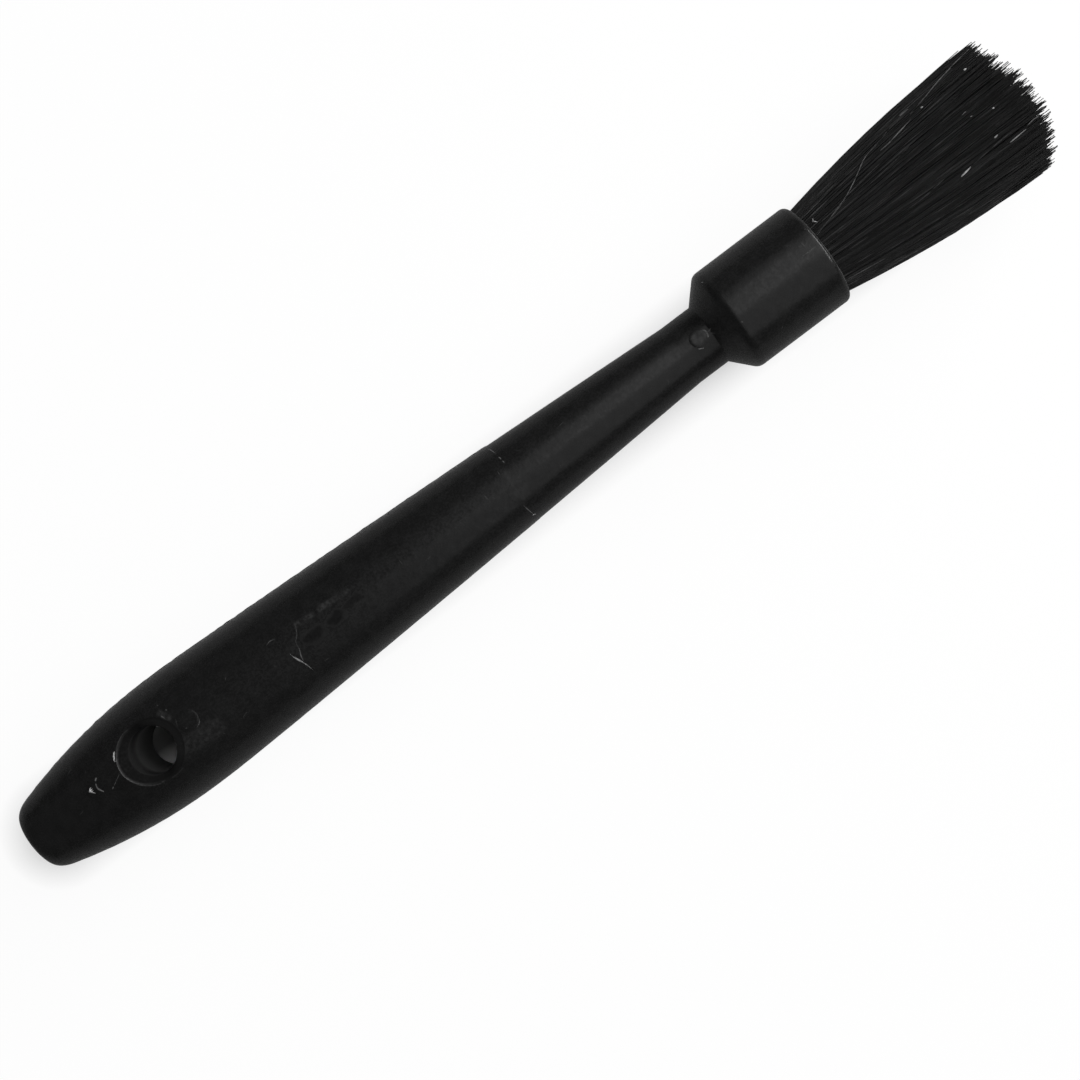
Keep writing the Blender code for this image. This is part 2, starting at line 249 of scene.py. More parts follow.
def makeFloor(look):
    # white paper that keeps a faint shadow, with a painted shadow under the hanging hole; the sheen of the
    # brush sees it greyer
    bm = bmesh.new()
    bmesh.ops.create_grid(bm, x_segments=1, y_segments=1, size=look["size"] / 2)
    material, tree, shader = newMaterial("palePaperFloor")
    rays = addNode(tree, "ShaderNodeLightPath")
    place = addNode(tree, "ShaderNodeTexCoord").outputs["Object"]
    tone = addNode(tree, "ShaderNodeMix", {0: rays.outputs["Is Glossy Ray"], 6: colour(look["paper"]),
        7: colour(look["inTheSheen"])}, data_type="RGBA")
    # The painted shadow under the hanging hole: the paper darkens in an ellipse there, most on its +Y side,
    # and is not whitened.
    shadeX, shadeY = look["holeShade"]
    fromShade = addNode(tree, "ShaderNodeVectorMath", {0: place, 1: (buttX + shadeX, shadeY, 0.0)},
        operation="SUBTRACT")
    inRadii = addNode(tree, "ShaderNodeVectorMath", {0: fromShade, 1: (*look["holeShadeR"], 1.0)},
        operation="DIVIDE")
    underHole = addNode(tree, "ShaderNodeVectorMath", {0: inRadii}, operation="LENGTH").outputs["Value"]
    disc = addNode(tree, "ShaderNodeMapRange",
        {0: underHole, 1: 1.0, 2: look["holeShadeEnd"], 3: 1.0, 4: 0.0})
    across = addNode(tree, "ShaderNodeSeparateXYZ", {0: place}).outputs[1]
    (nearY, nearDim), (farY, farDim) = look["holeFade"]
    dim = addNode(tree, "ShaderNodeMapRange", {0: across, 1: nearY, 2: farY, 3: nearDim, 4: farDim})
    shade = addNode(tree, "ShaderNodeMath", {0: disc, 1: dim}, operation="MULTIPLY")
    paper = addNode(tree, "ShaderNodeMix", {0: shade, 6: tone.outputs[2], 7: colour("#000000")},
        data_type="RGBA")
    tree.links.new(paper.outputs[2], shader.inputs["Base Color"])
    shader.inputs["Roughness"].default_value = look["roughness"]
    shader.inputs["Specular IOR Level"].default_value = look["specular"]
    away = addNode(tree, "ShaderNodeGroup", node_tree=segmentMask)
    tree.links.new(place, away.inputs["Vector"])
    away.inputs["From"].default_value = (buttX, 0.0, 0.0)
    away.inputs["To"].default_value = (tuftHigh.x, 0.0, 0.0)
    away.inputs["Width"].default_value = mm
    white = addNode(tree, "ShaderNodeMapRange",
        {0: away, 1: look["whiteFrom"] / mm, 2: look["whiteAt"] / mm, 4: look["whiteness"]})
    seen = addNode(tree, "ShaderNodeMath",
        {0: rays.outputs["Is Camera Ray"], 1: rays.outputs["Is Transmission Ray"]}, operation="MAXIMUM")
    outside = addNode(tree, "ShaderNodeMath", {0: 1.0, 1: disc}, operation="SUBTRACT")
    whiter = addNode(tree, "ShaderNodeMath", {0: white, 1: outside}, operation="MULTIPLY")
    share = addNode(tree, "ShaderNodeMath", {0: seen, 1: whiter}, operation="MULTIPLY")
    glow = addNode(tree, "ShaderNodeEmission", {"Color": colour("#ffffff"), "Strength": 1.0})
    mixed = addNode(tree, "ShaderNodeMixShader", {0: share, 1: shader, 2: glow})
    tree.links.new(mixed.outputs[0], tree.nodes["Material Output"].inputs["Surface"])
    addMesh("floor", bm, material)


for lampName, lamp in lamps.items():
    makeLamp(lampName, lamp)
makeRoom(roomStrength)
makeFloor(floorLook)
scene.view_settings.view_transform = "Standard"
print("light and floor ready")


# Injection-moulded polypropylene, black, from a finely blasted mould: a satin sheen with a fine mottle.
# Rubbed places and thin edges are a touch paler, partly as painted highlight and light, and greasy ones
# darker and dull. Round the hanging hole shade and light are painted into the colour.
polypropylene = {
    "dark": "#131313",
    "light": "#181818",
    "inHole": "#040404",  # near black: painted shade on the slope round the hanging hole, on the side that the tip lamps light; also the tone of the greasy places
    "paintedSlopeLight": "#2a2a2a",  # and painted light on the side of it that faces the butt, away from the tip lamps
    "inBore": ("#121212", "#585858"),  # painted light in the bore: paler from its upper end down to its middle, which lies in shade
    # the pale of wear, also used for painted highlight and light
    "paleWearAndHighlight": "#cfcfcf",
    "roughness": 0.25,
    "grain": 0.45 * mm,  # the blasted grain is about 0.1 mm, drawn coarser so that it shows
    "grainDepth": 0.008 * mm,
    "mottle": 1.6 * mm,
    "mottleDepth": 0.03 * mm,
    "mouthEdge": (0.5 * mm, 0.38 * mm, 0.085),  # where the pale edge starts, where it is full, and how pale: wear and a painted highlight of the rim
    "holeShadeAndLightFrom": 0.92,  # where the hole's painted shade and light start to fade, as a share of the way to its rim
    "slopeLight": (0.5 * mm, 3.5 * mm),  # where the slope's painted light starts and is full, from the hole's middle
    "boreLight": (8.2 * mm, 2.6 * mm),  # and where the bore's does, as heights above the axis
    "boreCurve": 3.0,
    "greaseDrift": 2.0 * mm,  # how far the edge of a greasy place wanders
    "greaseDull": 0.7,
    "ior": 1.49,
    "specular": 0.2,
}
# Rubbed places, and painted highlight and light: from and to in millimetres from the butt and aside
# (towards -Y), half a width, how pale.
rubsAndHighlights = [
    ((56.7, -2.1), (59.6, -2.0), 0.55, 0.018),
    ((61.3, -2.0), (62.8, -1.9), 0.55, 0.020),
    ((62.8, -1.9), (66.4, -1.6), 0.5, 0.010),
    ((31.0, 2.8), (36.7, 3.1), 1.7, 0.010),
    ((96.0, 2.0), (98.8, 2.2), 0.9, 0.006),
    # painted highlight on the neck pin's disc, which catches more light
    ((135.4, -0.3), (135.4, -0.2), 1.25, 0.020),
    ((146.0, -1.2), (158.0, -1.0), 2.6, 0.0025),
    ((30.9, -4.0), (31.6, -2.6), 0.6, 0.016),
    ((139.5, -4.5), (139.5, 5.5), 1.5, 0.0075),  # painted light across the cone behind the collar, which lies in shade
]
# Greasy places, darker and duller than the plastic beside them: the same, with how much at the end.
greasy = [
    ((56.9, 0.8), (59.0, 0.8), 1.2, 0.88),
    ((61.8, 0.8), (63.1, 0.7), 1.2, 0.88),
    ((64.7, 0.3), (67.6, 0.3), 0.7, 0.8),
]


def softMarks(tree, plan, marks):  # the strongest of a list of soft-edged marks at each point
    strongest = 0.0
    for (fromX, fromAside), (toX, toAside), width, strength in marks:
        ends = {"From": (buttX + fromX * mm, -fromAside * mm, 0.0),
            "To": (buttX + toX * mm, -toAside * mm, 0.0)}
        mark = addNode(tree, "ShaderNodeGroup", node_tree=segmentMask)
        for name, value in {**ends, "Width": width * mm}.items():
            mark.inputs[name].default_value = value
        tree.links.new(plan.outputs[0], mark.inputs["Vector"])
        shown = addNode(tree, "ShaderNodeMapRange", {0: mark, 1: 0.4, 2: 1.3, 3: strength, 4: 0.0},
            interpolation_type="SMOOTHSTEP")
        strongest = addNode(tree, "ShaderNodeMath", {0: strongest, 1: shown}, operation="MAXIMUM")
    return strongest


def polypropyleneBlack(look, marks, darkMarks, hole):
    material, tree, shader = newMaterial("polypropyleneBlack")
    place = addNode(tree, "ShaderNodeTexCoord").outputs["Object"]
    split = addNode(tree, "ShaderNodeSeparateXYZ", {0: place})
    plan = addNode(tree, "ShaderNodeCombineXYZ", {0: split.outputs[0], 1: split.outputs[1]})
    onTop = addNode(tree, "ShaderNodeMath", {0: split.outputs[2], 1: axisZ}, operation="GREATER_THAN")
    grain = addNode(tree, "ShaderNodeTexNoise",
        {"Vector": place, "Scale": 1 / look["grain"], "Detail": 2.0})
    mottle = addNode(tree, "ShaderNodeTexNoise",
        {"Vector": place, "Scale": 1 / look["mottle"], "Detail": 4.0})
    fine = addNode(tree, "ShaderNodeTexNoise",
        {"Vector": place, "Scale": 2.5 / look["mottle"], "Detail": 3.0})

    # Noise lies mostly between 0.35 and 0.65, so the ramps on it start and end near there.
    patchy = addNode(tree, "ShaderNodeMapRange", {0: fine, 1: 0.4, 2: 0.62, 3: 0.25, 4: 1.6})
    paleRubAndLight = addNode(tree, "ShaderNodeMath", {0: softMarks(tree, plan, marks), 1: patchy},
        operation="MULTIPLY")
    paleRubAndLightTop = addNode(tree, "ShaderNodeMath", {0: paleRubAndLight, 1: onTop}, operation="MULTIPLY")

    # The mouth's thin edge, worn pale and with a painted highlight, and the inside of the hanging hole,
    # with painted shade and light.
    edgeFrom, edgeFull, edgePale = look["mouthEdge"]
    mouth = addNode(tree, "ShaderNodeMapRange",
        {0: split.outputs[0], 1: mouthX - edgeFrom, 2: mouthX - edgeFull, 4: edgePale})
    fromHole = addNode(tree, "ShaderNodeVectorMath",
        {0: plan.outputs[0], 1: (buttX + hole["fromButt"], 0.0, 0.0)}, operation="SUBTRACT")
    rimScale = (1 / (hole["r"] + hole["rimAlong"]), 1 / (hole["r"] + hole["rimAcross"]), 0.0)
    toRim = addNode(tree, "ShaderNodeVectorMath", {0: fromHole, 1: rimScale}, operation="MULTIPLY")
    rimShare = addNode(tree, "ShaderNodeVectorMath", {0: toRim}, operation="LENGTH").outputs["Value"]
    uneven = addNode(tree, "ShaderNodeMapRange", {0: mottle, 1: 0.36, 2: 0.62, 3: 0.45, 4: 1.5})
    edgesShown = addNode(tree, "ShaderNodeMath", {0: mouth, 1: uneven}, operation="MULTIPLY")
    pale = addNode(tree, "ShaderNodeMath", {0: paleRubAndLightTop, 1: edgesShown}, operation="ADD", use_clamp=True)

    blend = addNode(tree, "ShaderNodeMapRange", {0: mottle, 1: 0.35, 2: 0.65})
    skin = addNode(tree, "ShaderNodeMix", {0: blend, 6: colour(look["dark"]), 7: colour(look["light"])},
        data_type="RGBA")
    inHole = addNode(tree, "ShaderNodeMapRange",
        {0: rimShare, 1: look["holeShadeAndLightFrom"], 2: 1.0, 3: 1.0, 4: 0.0})
    drift = addNode(tree, "ShaderNodeVectorMath", {0: mottle.outputs["Color"], 1: (0.5, 0.5, 0.5)},
        operation="SUBTRACT")
    wander = (look["greaseDrift"], look["greaseDrift"], 0.0)
    drifted = addNode(tree, "ShaderNodeVectorMath", {0: drift, 1: wander, 2: plan},
        operation="MULTIPLY_ADD")
    grease = addNode(tree, "ShaderNodeMath", {0: softMarks(tree, drifted, darkMarks), 1: onTop},
        operation="MULTIPLY")
    dimmed = addNode(tree, "ShaderNodeMath", {0: inHole, 1: grease}, operation="MAXIMUM")
    # Round the hanging hole: painted shade on the slope's butt side, which faces the tip lamps, and painted
    # light on its tip side and down the bore, which lie in shade.
    fromHoleX = addNode(tree, "ShaderNodeSeparateXYZ", {0: fromHole})
    lightFrom, lightFull = look["slopeLight"]
    tipSide = addNode(tree, "ShaderNodeMapRange", {0: fromHoleX, 1: lightFrom, 2: lightFull})
    slopeTone = addNode(tree, "ShaderNodeMix",
        {0: tipSide, 6: colour(look["inHole"]), 7: colour(look["paintedSlopeLight"])}, data_type="RGBA")
    fromAxis = addNode(tree, "ShaderNodeVectorMath", {0: fromHole}, operation="LENGTH").outputs["Value"]
    bore = addNode(tree, "ShaderNodeMapRange",
        {0: fromAxis, 1: hole["r"] + 0.01 * mm, 2: hole["r"] + 0.1 * mm, 3: 1.0, 4: 0.0})
    upperZ, middleZ = look["boreLight"]
    deep = addNode(tree, "ShaderNodeMapRange", {0: split.outputs[2], 1: axisZ + upperZ, 2: axisZ + middleZ})
    deeper = addNode(tree, "ShaderNodeMath", {0: deep, 1: look["boreCurve"]}, operation="POWER")
    upper, middle = [colour(dust) for dust in look["inBore"]]
    boreTone = addNode(tree, "ShaderNodeMix", {0: deeper, 6: upper, 7: middle}, data_type="RGBA")
    holeTone = addNode(tree, "ShaderNodeMix", {0: bore, 6: slopeTone.outputs[2], 7: boreTone.outputs[2]},
        data_type="RGBA")
    grimed = addNode(tree, "ShaderNodeMix", {0: grease, 6: skin.outputs[2], 7: colour(look["inHole"])},
        data_type="RGBA")
    black = addNode(tree, "ShaderNodeMix", {0: inHole, 6: grimed.outputs[2], 7: holeTone.outputs[2]},
        data_type="RGBA").outputs[2]
    tone = addNode(tree, "ShaderNodeMix", {0: pale, 6: black, 7: colour(look["paleWearAndHighlight"])},
        data_type="RGBA")
    tree.links.new(tone.outputs[2], shader.inputs["Base Color"])
    satin = addNode(tree, "ShaderNodeMapRange",
        {0: grain, 1: 0.3, 2: 0.7, 3: look["roughness"] - 0.09, 4: look["roughness"] + 0.13})
    dull = addNode(tree, "ShaderNodeMath", {0: dimmed, 1: look["greaseDull"], 2: satin},
        operation="MULTIPLY_ADD")
    tree.links.new(dull.outputs[0], shader.inputs["Roughness"])
    relief = addNode(tree, "ShaderNodeMath",
        {0: mottle, 1: look["mottleDepth"] / look["grainDepth"], 2: grain}, operation="MULTIPLY_ADD")
    bump = addNode(tree, "ShaderNodeBump",
        {"Strength": 1.0, "Distance": look["grainDepth"], "Height": relief})
    tree.links.new(bump.outputs[0], shader.inputs["Normal"])
    shader.inputs["IOR"].default_value = look["ior"]
    shader.inputs["Specular IOR Level"].default_value = look["specular"]
    return material


hangingHole = {
    "fromButt": 26.0 * mm,
    "r": 4.0 * mm,
    "rimAlong": 1.82 * mm,  # how far the sunk rim reaches along the handle
    "rimAcross": 1.24 * mm,
    "edge": 0.06 * mm,
    "slope": 50,  # degrees
    "steps": 96,
}
plasticBlack = polypropyleneBlack(polypropylene, rubsAndHighlights, greasy, hangingHole)


# Every size of the handle is the moulding's own, measured from the butt along the axis.
handleSize = {
    "buttR": 5.87 * mm,
    "buttRound": 2.25 * mm,  # how far along the edge of the butt is rounded
    "buttDrop": 1.0 * mm,  # and how much radius that takes
    "noseLength": 29.5 * mm,
    "bellyR": 10.4 * mm,
    "gripLength": 102.5 * mm,
    "gripCrown": 0.2 * mm,
    "gripSoft": 6.0 * mm,
    "neckR": 5.42 * mm,
    "neckLength": 5.7 * mm,
    "neckFillet": 0.2 * mm,
    "shoulderRound": 1.9 * mm,
    "collarR": 9.25 * mm,
    "collarWall": 0.9 * mm,
    "collarLength": 18.75 * mm,
    "mouthRound": 0.95 * mm,
    "lip": 0.16 * mm,
    "lipStep": (0.05 * mm, 0.04 * mm),  # the small bevel inside the mouth: along and across
    "cupDepth": 15.95 * mm,
    "cupCorner": 0.6 * mm,
    "insertJoint": 97.6 * mm,  # where the two inserts of the mould meet
    "insertStep": 0.02 * mm,
    "jointRows": (0.3 * mm, 0.02 * mm),  # the points ahead of it and behind it, which keep the step short
    "mouthBack": 0.3 * mm,  # the rim is rounded over by this much
    "ridgeHeight": 0.22 * mm,  # of the parting ridge at its highest, behind the inserts' joint
    "ridgeWidth": 0.22 * mm,
    "rowGap": 0.8 * mm,  # between the rings of points along it
    "pinSteps": 48,  # round each pin's mark
    "steps": 192,
}
pinMarks = [  # "aside" is towards -Y, and "lift" is how far the disc stands proud
    {"fromButt": 16.4 * mm, "aside": -0.45 * mm, "r": 1.6 * mm, "lift": 0.03 * mm},
    {"fromButt": 33.95 * mm, "aside": -0.34 * mm, "r": 1.8 * mm, "lift": 0.06 * mm},
    {"fromButt": 97.7 * mm, "aside": 2.1 * mm, "r": 1.75 * mm, "lift": 0.015 * mm},
    {"fromButt": 135.4 * mm, "aside": -0.25 * mm, "r": 1.5 * mm, "lift": 0.06 * mm},
]


def gripRadius(size, height):
    if height <= size["noseLength"]:
        return size["bellyR"] - (size["bellyR"] - size["buttR"]) * (1 - height / size["noseLength"]) ** 2
    along = min((height - size["noseLength"]) / size["gripLength"], 1.0)
    soft = size["gripSoft"] / size["gripLength"]
    eased = (math.hypot(along, soft) - soft) / (math.hypot(1.0, soft) - soft)
    radius = size["bellyR"] + (size["neckR"] - size["bellyR"]) * eased
    radius += size["gripCrown"] * 4 * along * (1 - along)
    if height <= size["insertJoint"]:  # the rear insert is a hair fuller
        toNose = (size["insertJoint"] - height) / (size["insertJoint"] - size["noseLength"])
        radius += size["insertStep"] * (1 - toNose)
    return radius


def roundedCorner(corner, before, after, radius, points):  # an arc between a profile's two straight runs
    toBefore = (Vector(before) - Vector(corner)).normalized()
    toAfter = (Vector(after) - Vector(corner)).normalized()
    half = toBefore.angle(toAfter) / 2
    reach = radius / math.tan(half)
    centre = Vector(corner) + (toBefore + toAfter).normalized() * radius / math.sin(half)
    start = Vector(corner) + toBefore * reach - centre
    end = Vector(corner) + toAfter * reach - centre
    turn = math.pi - 2 * half
    found = []
    for i in range(points + 1):
        first = math.sin((1 - i / points) * turn) / math.sin(turn)
        second = math.sin(i / points * turn) / math.sin(turn)
        found.append(tuple(centre + start * first + end * second))
    return found


def spread(start, end, gap):  # heights from start to end, the first left out, about a gap apart
    count = max(1, round(abs(end - start) / gap))
    return [start + (end - start) * i / count for i in range(1, count + 1)]


def handleProfile(size):  # (height, radius) from the cup's floor, round the mouth, and down to the butt
    total = mouthX - buttX - size["mouthBack"]
    cupR = size["collarR"] - size["collarWall"]
    floor = mouthX - buttX - size["cupDepth"]
    neckStart = size["noseLength"] + size["gripLength"]
    neckEnd = neckStart + size["neckLength"]
    shoulder = mouthX - buttX - size["collarLength"]
    points = [(floor, 0.0), (floor, cupR / 2)]
    corner = size["cupCorner"]
    points += roundedCorner((floor, cupR), (floor, 0.0), (total, cupR), corner, 4)
    points += [(h, cupR) for h in spread(floor + corner, total - 0.2 * mm, 2 * mm)]
    lipR = cupR + size["lip"]
    back, out = size["lipStep"]
    points += [(total - back, cupR), (total, cupR + out), (total, lipR)]
    for i in range(1, 13):
        turn = 0.5 * math.pi * i / 12
        height = total - size["mouthRound"] * (1 - math.cos(turn))
        points.append((height, lipR + (size["collarR"] - lipR) * math.sin(turn)))
    gap = size["rowGap"]
    collarR = size["collarR"]
    neckR = size["neckR"]
    points += [(h, collarR) for h in spread(total - size["mouthRound"], shoulder + gap, gap)]
    bend = ((shoulder, collarR), (total, collarR), (neckEnd, neckR))
    points += roundedCorner(*bend, size["shoulderRound"], 10)
    foot = roundedCorner((neckEnd, neckR), (shoulder, collarR), (neckStart, neckR), size["neckFillet"], 6)
    lastH, lastR = points[-1]
    for i in range(1, 6):
        points.append((lastH + (foot[0][0] - lastH) * i / 6, lastR + (foot[0][1] - lastR) * i / 6))
    points += foot
    points += [(h, neckR) for h in spread(foot[-1][0], neckStart, gap)]
    joint = size["insertJoint"]
    ahead, behind = size["jointRows"]
    heights = spread(neckStart, joint + ahead, gap) + [joint - behind]
    heights += spread(joint, size["buttRound"], gap)
    points += [(h, gripRadius(size, h)) for h in heights]
    for i in range(1, 13):
        turn = 0.5 * math.pi * i / 12
        height = size["buttRound"] * (1 - math.sin(turn))
        points.append((height, gripRadius(size, height) - size["buttDrop"] * (1 - math.cos(turn))))
    points += [(0.0, r) for r in (3.0 * mm, 1.5 * mm, 0.0)]
    return points


def profileMesh(name, points, fromX):  # the points as a line of edges that a tree can turn
    mesh = bpy.data.meshes.new(name)
    verts = [(fromX + h, 0.0, r) for h, r in points]
    mesh.from_pydata(verts, [(i, i + 1) for i in range(len(verts) - 1)], [])
    return mesh


def turnedBodyTree():  # turns a line of points about the axis, with the mould's parting ridge on both sides
    tree, given = newTree("turnedBody", [
        ("Profile", "Geometry"), ("Steps", "Int"), ("Axis Height", "Float"), ("Ridge Height", "Float"),
        ("Ridge Width", "Float"), ("Ridge End", "Float"), ("Material", "Material"),
    ])
    rows = addNode(tree, "GeometryNodeAttributeDomainSize", {0: given["Profile"]}, component="MESH")
    columns = addNode(tree, "FunctionNodeIntegerMath", {0: given["Steps"], 1: 1}, operation="ADD")
    grid = addNode(tree, "GeometryNodeMeshGrid", {"Vertices X": rows, "Vertices Y": columns})
    index = addNode(tree, "GeometryNodeInputIndex")
    row = addNode(tree, "FunctionNodeIntegerMath", {0: index, 1: columns}, operation="DIVIDE_FLOOR")
    column = addNode(tree, "FunctionNodeIntegerMath", {0: index, 1: columns}, operation="MODULO")
    here = addNode(tree, "GeometryNodeInputPosition")
    point = addNode(tree, "GeometryNodeSampleIndex", {0: given["Profile"], 1: here, 2: row},
        data_type="FLOAT_VECTOR")
    split = addNode(tree, "ShaderNodeSeparateXYZ", {0: point})

    # The column at each side is the ridge's back, and the two beside it are pulled close to it.
    stepAngle = addNode(tree, "ShaderNodeMath", {0: math.tau, 1: given["Steps"]}, operation="DIVIDE")
    angle = addNode(tree, "ShaderNodeMath", {0: column, 1: stepAngle}, operation="MULTIPLY")
    quarter = addNode(tree, "ShaderNodeMath", {0: given["Steps"], 1: 4.0}, operation="DIVIDE")
    half = addNode(tree, "ShaderNodeMath", {0: given["Steps"], 1: 2.0}, operation="DIVIDE")
    wrapped = addNode(tree, "ShaderNodeMath", {0: column, 1: half}, operation="FLOORED_MODULO")
    fromSide = addNode(tree, "ShaderNodeMath", {0: wrapped, 1: quarter}, operation="SUBTRACT")
    away = addNode(tree, "ShaderNodeMath", {0: fromSide}, operation="ABSOLUTE")
    onRidge = addNode(tree, "ShaderNodeMath", {0: away, 1: 0.5}, operation="LESS_THAN")
    beside = addNode(tree, "ShaderNodeMath", {0: away, 1: 1.0, 2: 0.1}, operation="COMPARE")

    # Close to the axis there is no ridge.
    wide = addNode(tree, "ShaderNodeMath", {0: split.outputs[2], 1: 1.0 * mm}, operation="GREATER_THAN")
    safeR = addNode(tree, "ShaderNodeMath", {0: split.outputs[2], 1: 1.0 * mm}, operation="MAXIMUM")
    reach = addNode(tree, "ShaderNodeMath", {0: given["Ridge Width"], 1: safeR}, operation="DIVIDE")
    short = addNode(tree, "ShaderNodeMath", {0: reach, 1: 0.5}, operation="MULTIPLY")
    pull = addNode(tree, "ShaderNodeMath", {0: short, 1: stepAngle}, operation="SUBTRACT")
    signed = addNode(tree, "ShaderNodeMath", {0: pull, 1: fromSide}, operation="MULTIPLY")
    pulled = addNode(tree, "ShaderNodeMath", {0: signed, 1: beside, 2: angle}, operation="MULTIPLY_ADD")
    flashNoise = {"W": split.outputs[0], "Scale": 0.7 / mm, "Detail": 2.0}
    flash = addNode(tree, "ShaderNodeTexNoise", flashNoise, noise_dimensions="1D")

    # Past its end the ridge falls to a fifth of its height, and on the -Y side it has a quarter of it.
    ahead = addNode(tree, "ShaderNodeMath", {0: split.outputs[0], 1: given["Ridge End"]},
        operation="SUBTRACT")
    ending = addNode(tree, "ShaderNodeMapRange", {0: ahead, 1: -0.2 * mm, 2: 0.3 * mm, 3: 1.0, 4: 0.2})
    farSide = addNode(tree, "ShaderNodeMath", {0: column, 1: half}, operation="GREATER_THAN")
    sided = addNode(tree, "ShaderNodeMapRange", {0: farSide, 3: 0.25, 4: 1.0})
    full = addNode(tree, "ShaderNodeMath", {0: ending, 1: sided}, operation="MULTIPLY")
    uneven = addNode(tree, "ShaderNodeMath", {0: flash, 1: full}, operation="MULTIPLY")
    ridge = addNode(tree, "ShaderNodeMath", {0: uneven, 1: given["Ridge Height"]}, operation="MULTIPLY")
    masked = addNode(tree, "ShaderNodeMath", {0: ridge, 1: onRidge}, operation="MULTIPLY")
    radius = addNode(tree, "ShaderNodeMath", {0: masked, 1: wide, 2: split.outputs[2]},
        operation="MULTIPLY_ADD")
    spoke = addNode(tree, "ShaderNodeCombineXYZ", {0: split.outputs[0], 2: radius})
    turned = addNode(tree, "ShaderNodeVectorRotate", {"Vector": spoke, "Angle": pulled},
        rotation_type="X_AXIS")
    lift = addNode(tree, "ShaderNodeCombineXYZ", {2: given["Axis Height"]})
    place = addNode(tree, "ShaderNodeVectorMath", {0: turned, 1: lift}, operation="ADD")
    wrap = addNode(tree, "GeometryNodeSetPosition", {"Geometry": grid, "Position": place})
    closed = addNode(tree, "GeometryNodeMergeByDistance", {0: wrap, "Distance": 0.002 * mm})
    smooth = addNode(tree, "GeometryNodeSetShadeSmooth", {0: closed})
    endTree(tree, smooth, given["Material"])
    return tree


def surfaceHeight(size, along, across):
    return math.sqrt(gripRadius(size, along) ** 2 - across**2)


def ringStack(bm, size, at, aside, rings, steps, side=1, longer=0.0):  # rings in plan, each at its height
    loops = []
    for plan, lift, flat in rings:
        loop = []
        for i in range(steps):
            turn = math.tau * i / steps
            along = at + (plan + longer * (plan - rings[-1][0])) * math.cos(turn)
            across = aside + (plan - longer * (plan - rings[-1][0])) * math.sin(turn)
            height = flat if lift is None else surfaceHeight(size, along, across) + lift
            loop.append(bm.verts.new((buttX + along, across, axisZ + side * height)))
        loops.append(loop)
    return loops


def bridgeLoops(bm, loops):  # a skin over a stack of loops, closed at both ends
    count = len(loops[0])
    for first, second in zip(loops, loops[1:]):
        for i in range(count):
            j = (i + 1) % count
            bm.faces.new((first[i], first[j], second[j], second[i]))
    bm.faces.new(loops[0])
    bm.faces.new(loops[-1])


def holeRings(hole):  # (plan radius, drop): a small rounded edge, then a steep slope down to the bore
    slope = math.radians(hole["slope"])
    outer = hole["r"] + (hole["rimAlong"] + hole["rimAcross"]) / 2
    rings = []
    for i in range(9):
        turn = slope * i / 8
        plan = outer - hole["edge"] * math.sin(turn)
        rings.append((plan, -hole["edge"] * (1 - math.cos(turn)), None))
    startPlan, startLift, _ = rings[-1]
    for i in range(1, 6):
        plan = startPlan + (hole["r"] - startPlan) * i / 5
        rings.append((plan, startLift - (startPlan - plan) * math.tan(slope), None))
    return rings


def makeHoleCutter(size, hole, material):
    bm = bmesh.new()
    clear = size["bellyR"] + 2 * mm
    rings = holeRings(hole)
    rings = [(rings[0][0], None, clear)] + rings
    longer = (hole["rimAlong"] - hole["rimAcross"]) / (hole["rimAlong"] + hole["rimAcross"])
    top = ringStack(bm, size, hole["fromButt"], 0.0, rings, hole["steps"], 1, longer)
    foot = ringStack(bm, size, hole["fromButt"], 0.0, rings, hole["steps"], -1, longer)
    bridgeLoops(bm, top + foot[::-1])
    bmesh.ops.recalc_face_normals(bm, faces=bm.faces)
    return addMesh("hangingHoleCutter", bm, material)


def makePinDiscs(size, pins, material):  # each a disc that stands a hair proud, where an ejector pin pushed
    bm = bmesh.new()
    for pin in pins:
        r = pin["r"]
        lift = pin["lift"]
        # A skirt sunk in the handle, a small rounded edge, and a top that dips towards its middle.
        rings = [(r + 0.05 * mm, -0.6 * mm, None), (r, -0.01 * mm, None), (r - 0.01 * mm, lift * 0.7, None)]
        rings.append((r - 0.06 * mm, lift, None))
        rings += [(r * share, lift * 0.9, None) for share in (0.66, 0.33, 0.05)]
        bridgeLoops(bm, ringStack(bm, size, pin["fromButt"], -pin["aside"], rings, size["pinSteps"]))
    bmesh.ops.recalc_face_normals(bm, faces=bm.faces)
    return addMesh("pinDiscs", bm, material)


def joinWith(obj, other, operation):
    modifier = obj.modifiers.new(operation, "BOOLEAN")
    modifier.operation = operation
    modifier.solver = "EXACT"
    modifier.object = other


def makeHandle(size, hole, pins, turnTree, material):
    profile = profileMesh("handleProfile", handleProfile(size), buttX)
    values = {"Steps": size["steps"], "Axis Height": axisZ, "Material": material}
    ridge = {"Ridge Height": size["ridgeHeight"], "Ridge Width": size["ridgeWidth"]}
    values.update({**ridge, "Ridge End": buttX + size["insertJoint"]})
    handle = growMesh("handleMoulding", turnTree, values, profile)
    cutter = makeHoleCutter(size, hole, material)
    discs = makePinDiscs(size, pins, material)
    joinWith(handle, cutter, "DIFFERENCE")
    joinWith(handle, discs, "UNION")
    freeze(handle, "handleMoulding")
    for tool in (cutter, discs):
        bpy.data.objects.remove(tool)
    handle.data.shade_smooth()
    handle.data.set_sharp_from_angle(angle=math.radians(28))
    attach(handle, "root")
    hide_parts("handle")
    return handle


turnTree = turnedBodyTree()
handleMoulding = makeHandle(handleSize, hangingHole, pinMarks, turnTree, plasticBlack)
print("handle ready, %d faces" % len(handleMoulding.data.polygons))


